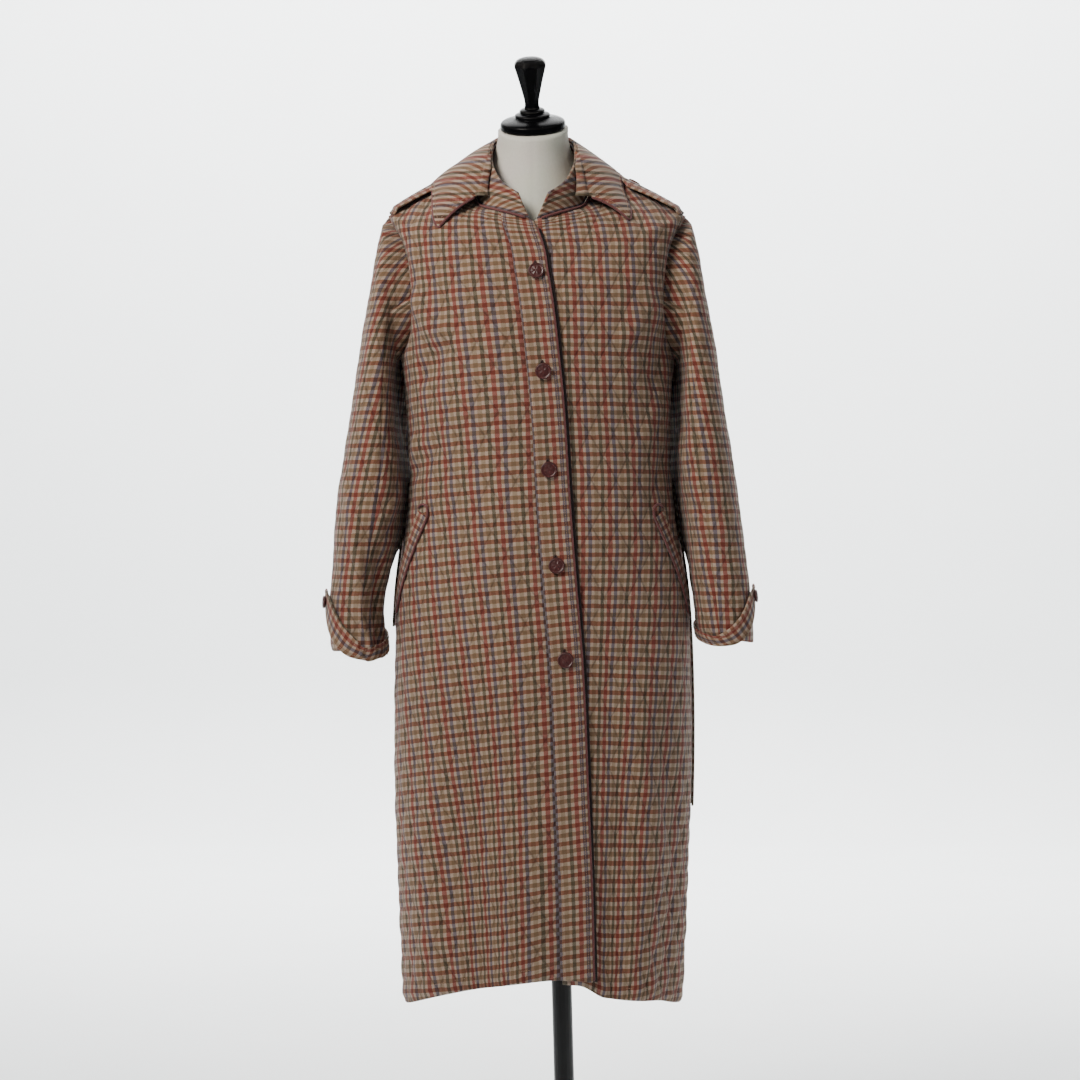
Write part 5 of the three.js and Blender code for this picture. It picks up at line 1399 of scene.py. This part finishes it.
# Canvas threads are 0.7 mm apart. They are drawn at 1.8 mm to show.
THREAD_DRAWN = 1.8
over, under = (
    node(tree, MATH, SINE, _0=node(tree, MATH, TIMES, _0=split.outputs[axis], _1=TURN / THREAD_DRAWN))
    for axis in "XY")
handled = node(tree, "ShaderNodeTexNoise", Vector=on_object.outputs["Object"], Scale=9.0, Detail=3.0)
aged = node(tree, "ShaderNodeMix", MULTIPLIED, Factor=0.25, _6=tone.outputs[2], _7=handled.outputs["Color"])
height = node(tree, MATH, PLUS, _0=node(tree, MATH, TIMES, _0=over, _1=under), _1=slub)
bump = node(tree, "ShaderNodeBump", Height=height, Strength=0.3, Distance=0.0003)
plug(tree, shader, Base__Color=aged.outputs[2], Normal=bump, Sheen__Weight=0.1)

REST_GAP = 0.4
FORM = table("rise centreX half sideY sideZ frontY frontZ backY backZ tilt", [
    [0, -20, 150, 0, 770, -92, 770, 92, 770], [0, -22, 166, 0, 785, -106, 785, 104, 785],
    [0, -28, 168, 0, 860, -110, 860, 106, 860], [0, -34, 128, 0, 1000, -90, 1000, 80, 1000],
    [0, -38, 132, 0, 1090, -98, 1090, 88, 1090], [0, -41, 150, 0, 1180, -116, 1172, 98, 1185],
    [0, -42, 156, 0, 1250, -110, 1232, 100, 1260], [0, -42, 172, 0, 1320, -96, 1276, 96, 1330],
    [1130, 0, 0, 0, 0, -88, 1298, 90, 1378], [1155, 0, 0, 0, 0, -86, 1310, 84, 1396],
    [1200, 0, 0, 0, 0, -82, 1326, 74, 1418], [1234, 0, 0, 0, 0, -80, 1340, 62, 1430],
    [0, -47, 63, 5, 1439, -70, 1370, 54, 1452], [0, -47.5, 54, 2, 1454, -61, 1408, 50, 1470],
    [0, -47.5, 49.5, -4, 1470, -57, 1440, 46, 1488], [0, -47.5, 49, -9, 1484, -58, 1465, 40, 1503, 0.05]])
FORM_SIDES = 96


def form_ring(k):
    """One ring of the torso, from the centre front round by the wearer's left.

    A ring with a rise of its own lies just inside the coat's shoulder there.
    """
    row = {name: float(values[k]) for name, values in FORM.items()}
    if row["rise"]:
        at, out = beside_seam(LEFT, -0.01, row["rise"])
        seam = at - out * (COAT_WALL + REST_GAP)
        row["centreX"] = read(BODY, "rise", "centreX", row["rise"])[0]
        row["half"], row["sideY"], row["sideZ"] = seam[0] - row["centreX"], seam[1], seam[2]
    angle = np.linspace(0, 2 * math.pi, FORM_SIDES, endpoint=False)
    front = np.cos(angle) > 0
    share = np.abs(np.cos(angle))
    share_z = np.where((row["rise"] > 0) & ~front, share ** 2, share)
    offset = row["half"] * np.sin(angle)
    y = row["sideY"] + (np.where(front, row["frontY"], row["backY"]) - row["sideY"]) * share
    z = row["sideZ"] + (np.where(front, row["frontZ"], row["backZ"]) - row["sideZ"]) * share_z
    return np.stack([row["centreX"] + offset, y, z + row["tilt"] * offset], -1)


rings = np.array([form_ring(k) for k in range(len(FORM["rise"]))])
ring_at = np.concatenate([[0], np.cumsum(np.linalg.norm(np.diff(rings, axis=0), axis=-1).mean(1))])
want = np.unique(np.round(np.concatenate([np.linspace(0, ring_at[-1], 150), ring_at]), 2))
want = np.clip(want, 0, ring_at[-1])
cell = np.clip(np.searchsorted(ring_at, want, side="right") - 1, 0, len(rings) - 2)
span = (ring_at[cell + 1] - ring_at[cell])[:, None, None]
t = ((want - ring_at[cell])[:, None, None]) / span
lean = np.gradient(rings, ring_at, axis=0) * 0.8
surface = ((2 * t ** 3 - 3 * t ** 2 + 1) * rings[cell] + (t ** 3 - 2 * t ** 2 + t) * span * lean[cell]
           + (3 * t ** 2 - 2 * t ** 3) * rings[cell + 1] + (t ** 3 - t ** 2) * span * lean[cell + 1])
# Six upright seams, each a shallow groove.
FORM_SEAMS, FORM_GROOVE, FORM_RADIUS = 6, 0.5, 55
away = surface - surface.mean(1, keepdims=True)
away /= np.linalg.norm(away, axis=-1, keepdims=True)
seam_at = np.zeros(FORM_SIDES)
seam_at[::FORM_SIDES // FORM_SEAMS] = 1.0
surface = surface - away * (FORM_GROOVE * seam_at)[None, :, None]
wide = np.linspace(0, 2 * math.pi, FORM_SIDES, endpoint=False) * FORM_RADIUS
form_uv = np.stack(np.broadcast_arrays(wide[None, :], want[:, None]), -1).reshape(-1, 2)
torso = ring_object("torso_canvas", surface.reshape(-1, 3), FORM_SIDES, canvas, uv=form_uv)
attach(torso, "root")
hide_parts("form_torso")

# Neck cap and finial. Turned wood, lacquered gloss black, screwed to the neck's slanted top. The
# finial is eight sided, wider upward, with an arched top. Sharp edges are painted pale in patches: painted
# highlight.
lacquer, tree, shader, place, brush, tone = toned_material(
    "gloss_black_lacquered_wood", "#030304", "#0b0b0d", 45.0, 5.0, (0.16, 0.36))
# Painted highlight: pale grey laid in patches on the sharpest edges, where the gloss catches light.
edge_geometry = node(tree, "ShaderNodeNewGeometry")
edge = node(tree, "ShaderNodeMapRange", Value=edge_geometry.outputs["Pointiness"], From__Min=0.53, From__Max=0.62)
patchy_edge_highlight = node(tree, MATH, TIMES, _0=edge, _1=brush)
painted_edge_highlight = node(tree, "ShaderNodeMix", BLEND, Factor=patchy_edge_highlight, _6=tone.outputs[2], _7=linear("#5d5a57"))
bump = node(tree, "ShaderNodeBump", Height=brush, Strength=0.12, Distance=0.0006)
plug(tree, shader, Base__Color=painted_edge_highlight.outputs[2], Normal=bump, Specular__IOR__Level=0.2, IOR=1.2)

NECK_SLANT, NECK_LEAN = math.atan2(38, 98), -0.05
NECK_TOP = np.array([-47.5, -9.0, 1484.0])


def on_neck(points):
    """Carries points made round +Z to the neck's slanted top, half a millimetre clear of it."""
    points = points + np.array([0, 0, 0.5])
    c, s = math.cos(NECK_SLANT), math.sin(NECK_SLANT)
    points = points @ np.array([[1, 0, 0], [0, c, s], [0, -s, c]])
    c, s = math.cos(NECK_LEAN), math.sin(NECK_LEAN)
    return points @ np.array([[c, 0, -s], [0, 1, 0], [s, 0, c]]) + NECK_TOP


CAP_SIDES = 72
cap_line = [(40, 0), (44.4, 0.3), (45.3, 1.4), (45.5, 3), (45.5, 7.2), (45.1, 9.0), (43.8, 10.8),
            (41.5, 12.2), (36, 13.7), (30, 15), (25.6, 15.8), (24.8, 16.4), (24.7, 17), (24.7, 19.4),
            (24.2, 20.6), (22.6, 21.4), (20, 22.1), (18, 22.6), (16.9, 23.4), (17.4, 24.3), (17.9, 25.4),
            (17.4, 26.6), (16.4, 27.4), (14.6, 28.2), (12.4, 28.8), (11.0, 29.0), (5, 29.0)]
cap = ring_object("turned_neck_cap", on_neck(turned_points(cap_line, CAP_SIDES)), CAP_SIDES, lacquer)
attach(cap, "root")
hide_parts("neck_cap")


# The finial's radius and height from its foot up, and how far each ring arches over a flat.
FINIAL = table("radius height arch", [
    [10.6, 29.3], [11.4, 29.4], [11.6, 30.2], [11.0, 31.6], [10.6, 34], [10.5, 37], [10.9, 41], [12, 46],
    [14.5, 56], [17.0, 66], [19.5, 75], [21.8, 83], [23.2, 88, 0.6], [23.5, 89.6, 1.3], [23.3, 91, 1.4],
    [22.4, 93, 1.2], [19.6, 96.4, 0.8], [15.6, 98.6, 0.4], [11, 100, 0.1], [5, 100.8]])
# Eight flats round an axis, with a narrow bevel between each two.
corner = math.pi / 8
turn = np.sort(np.concatenate([corner + np.arange(8) * math.pi / 4 + d for d in (-0.05, 0.05, corner)]))
on_bevel = np.abs(np.mod(turn, math.pi / 4) - corner) < 0.06
shape = np.where(on_bevel, 0.985, math.cos(corner))
finial_rings = [
    np.stack([radius * shape * np.cos(turn), radius * shape * np.sin(turn),
              height + np.where(on_bevel, 0.0, arch)], -1)
    for radius, height, arch in zip(FINIAL["radius"], FINIAL["height"], FINIAL["arch"])]
finial = ring_object("eight_sided_finial", on_neck(np.concatenate(finial_rings)), len(turn), lacquer,
                     smooth=False)
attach(finial, "root")
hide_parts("finial")
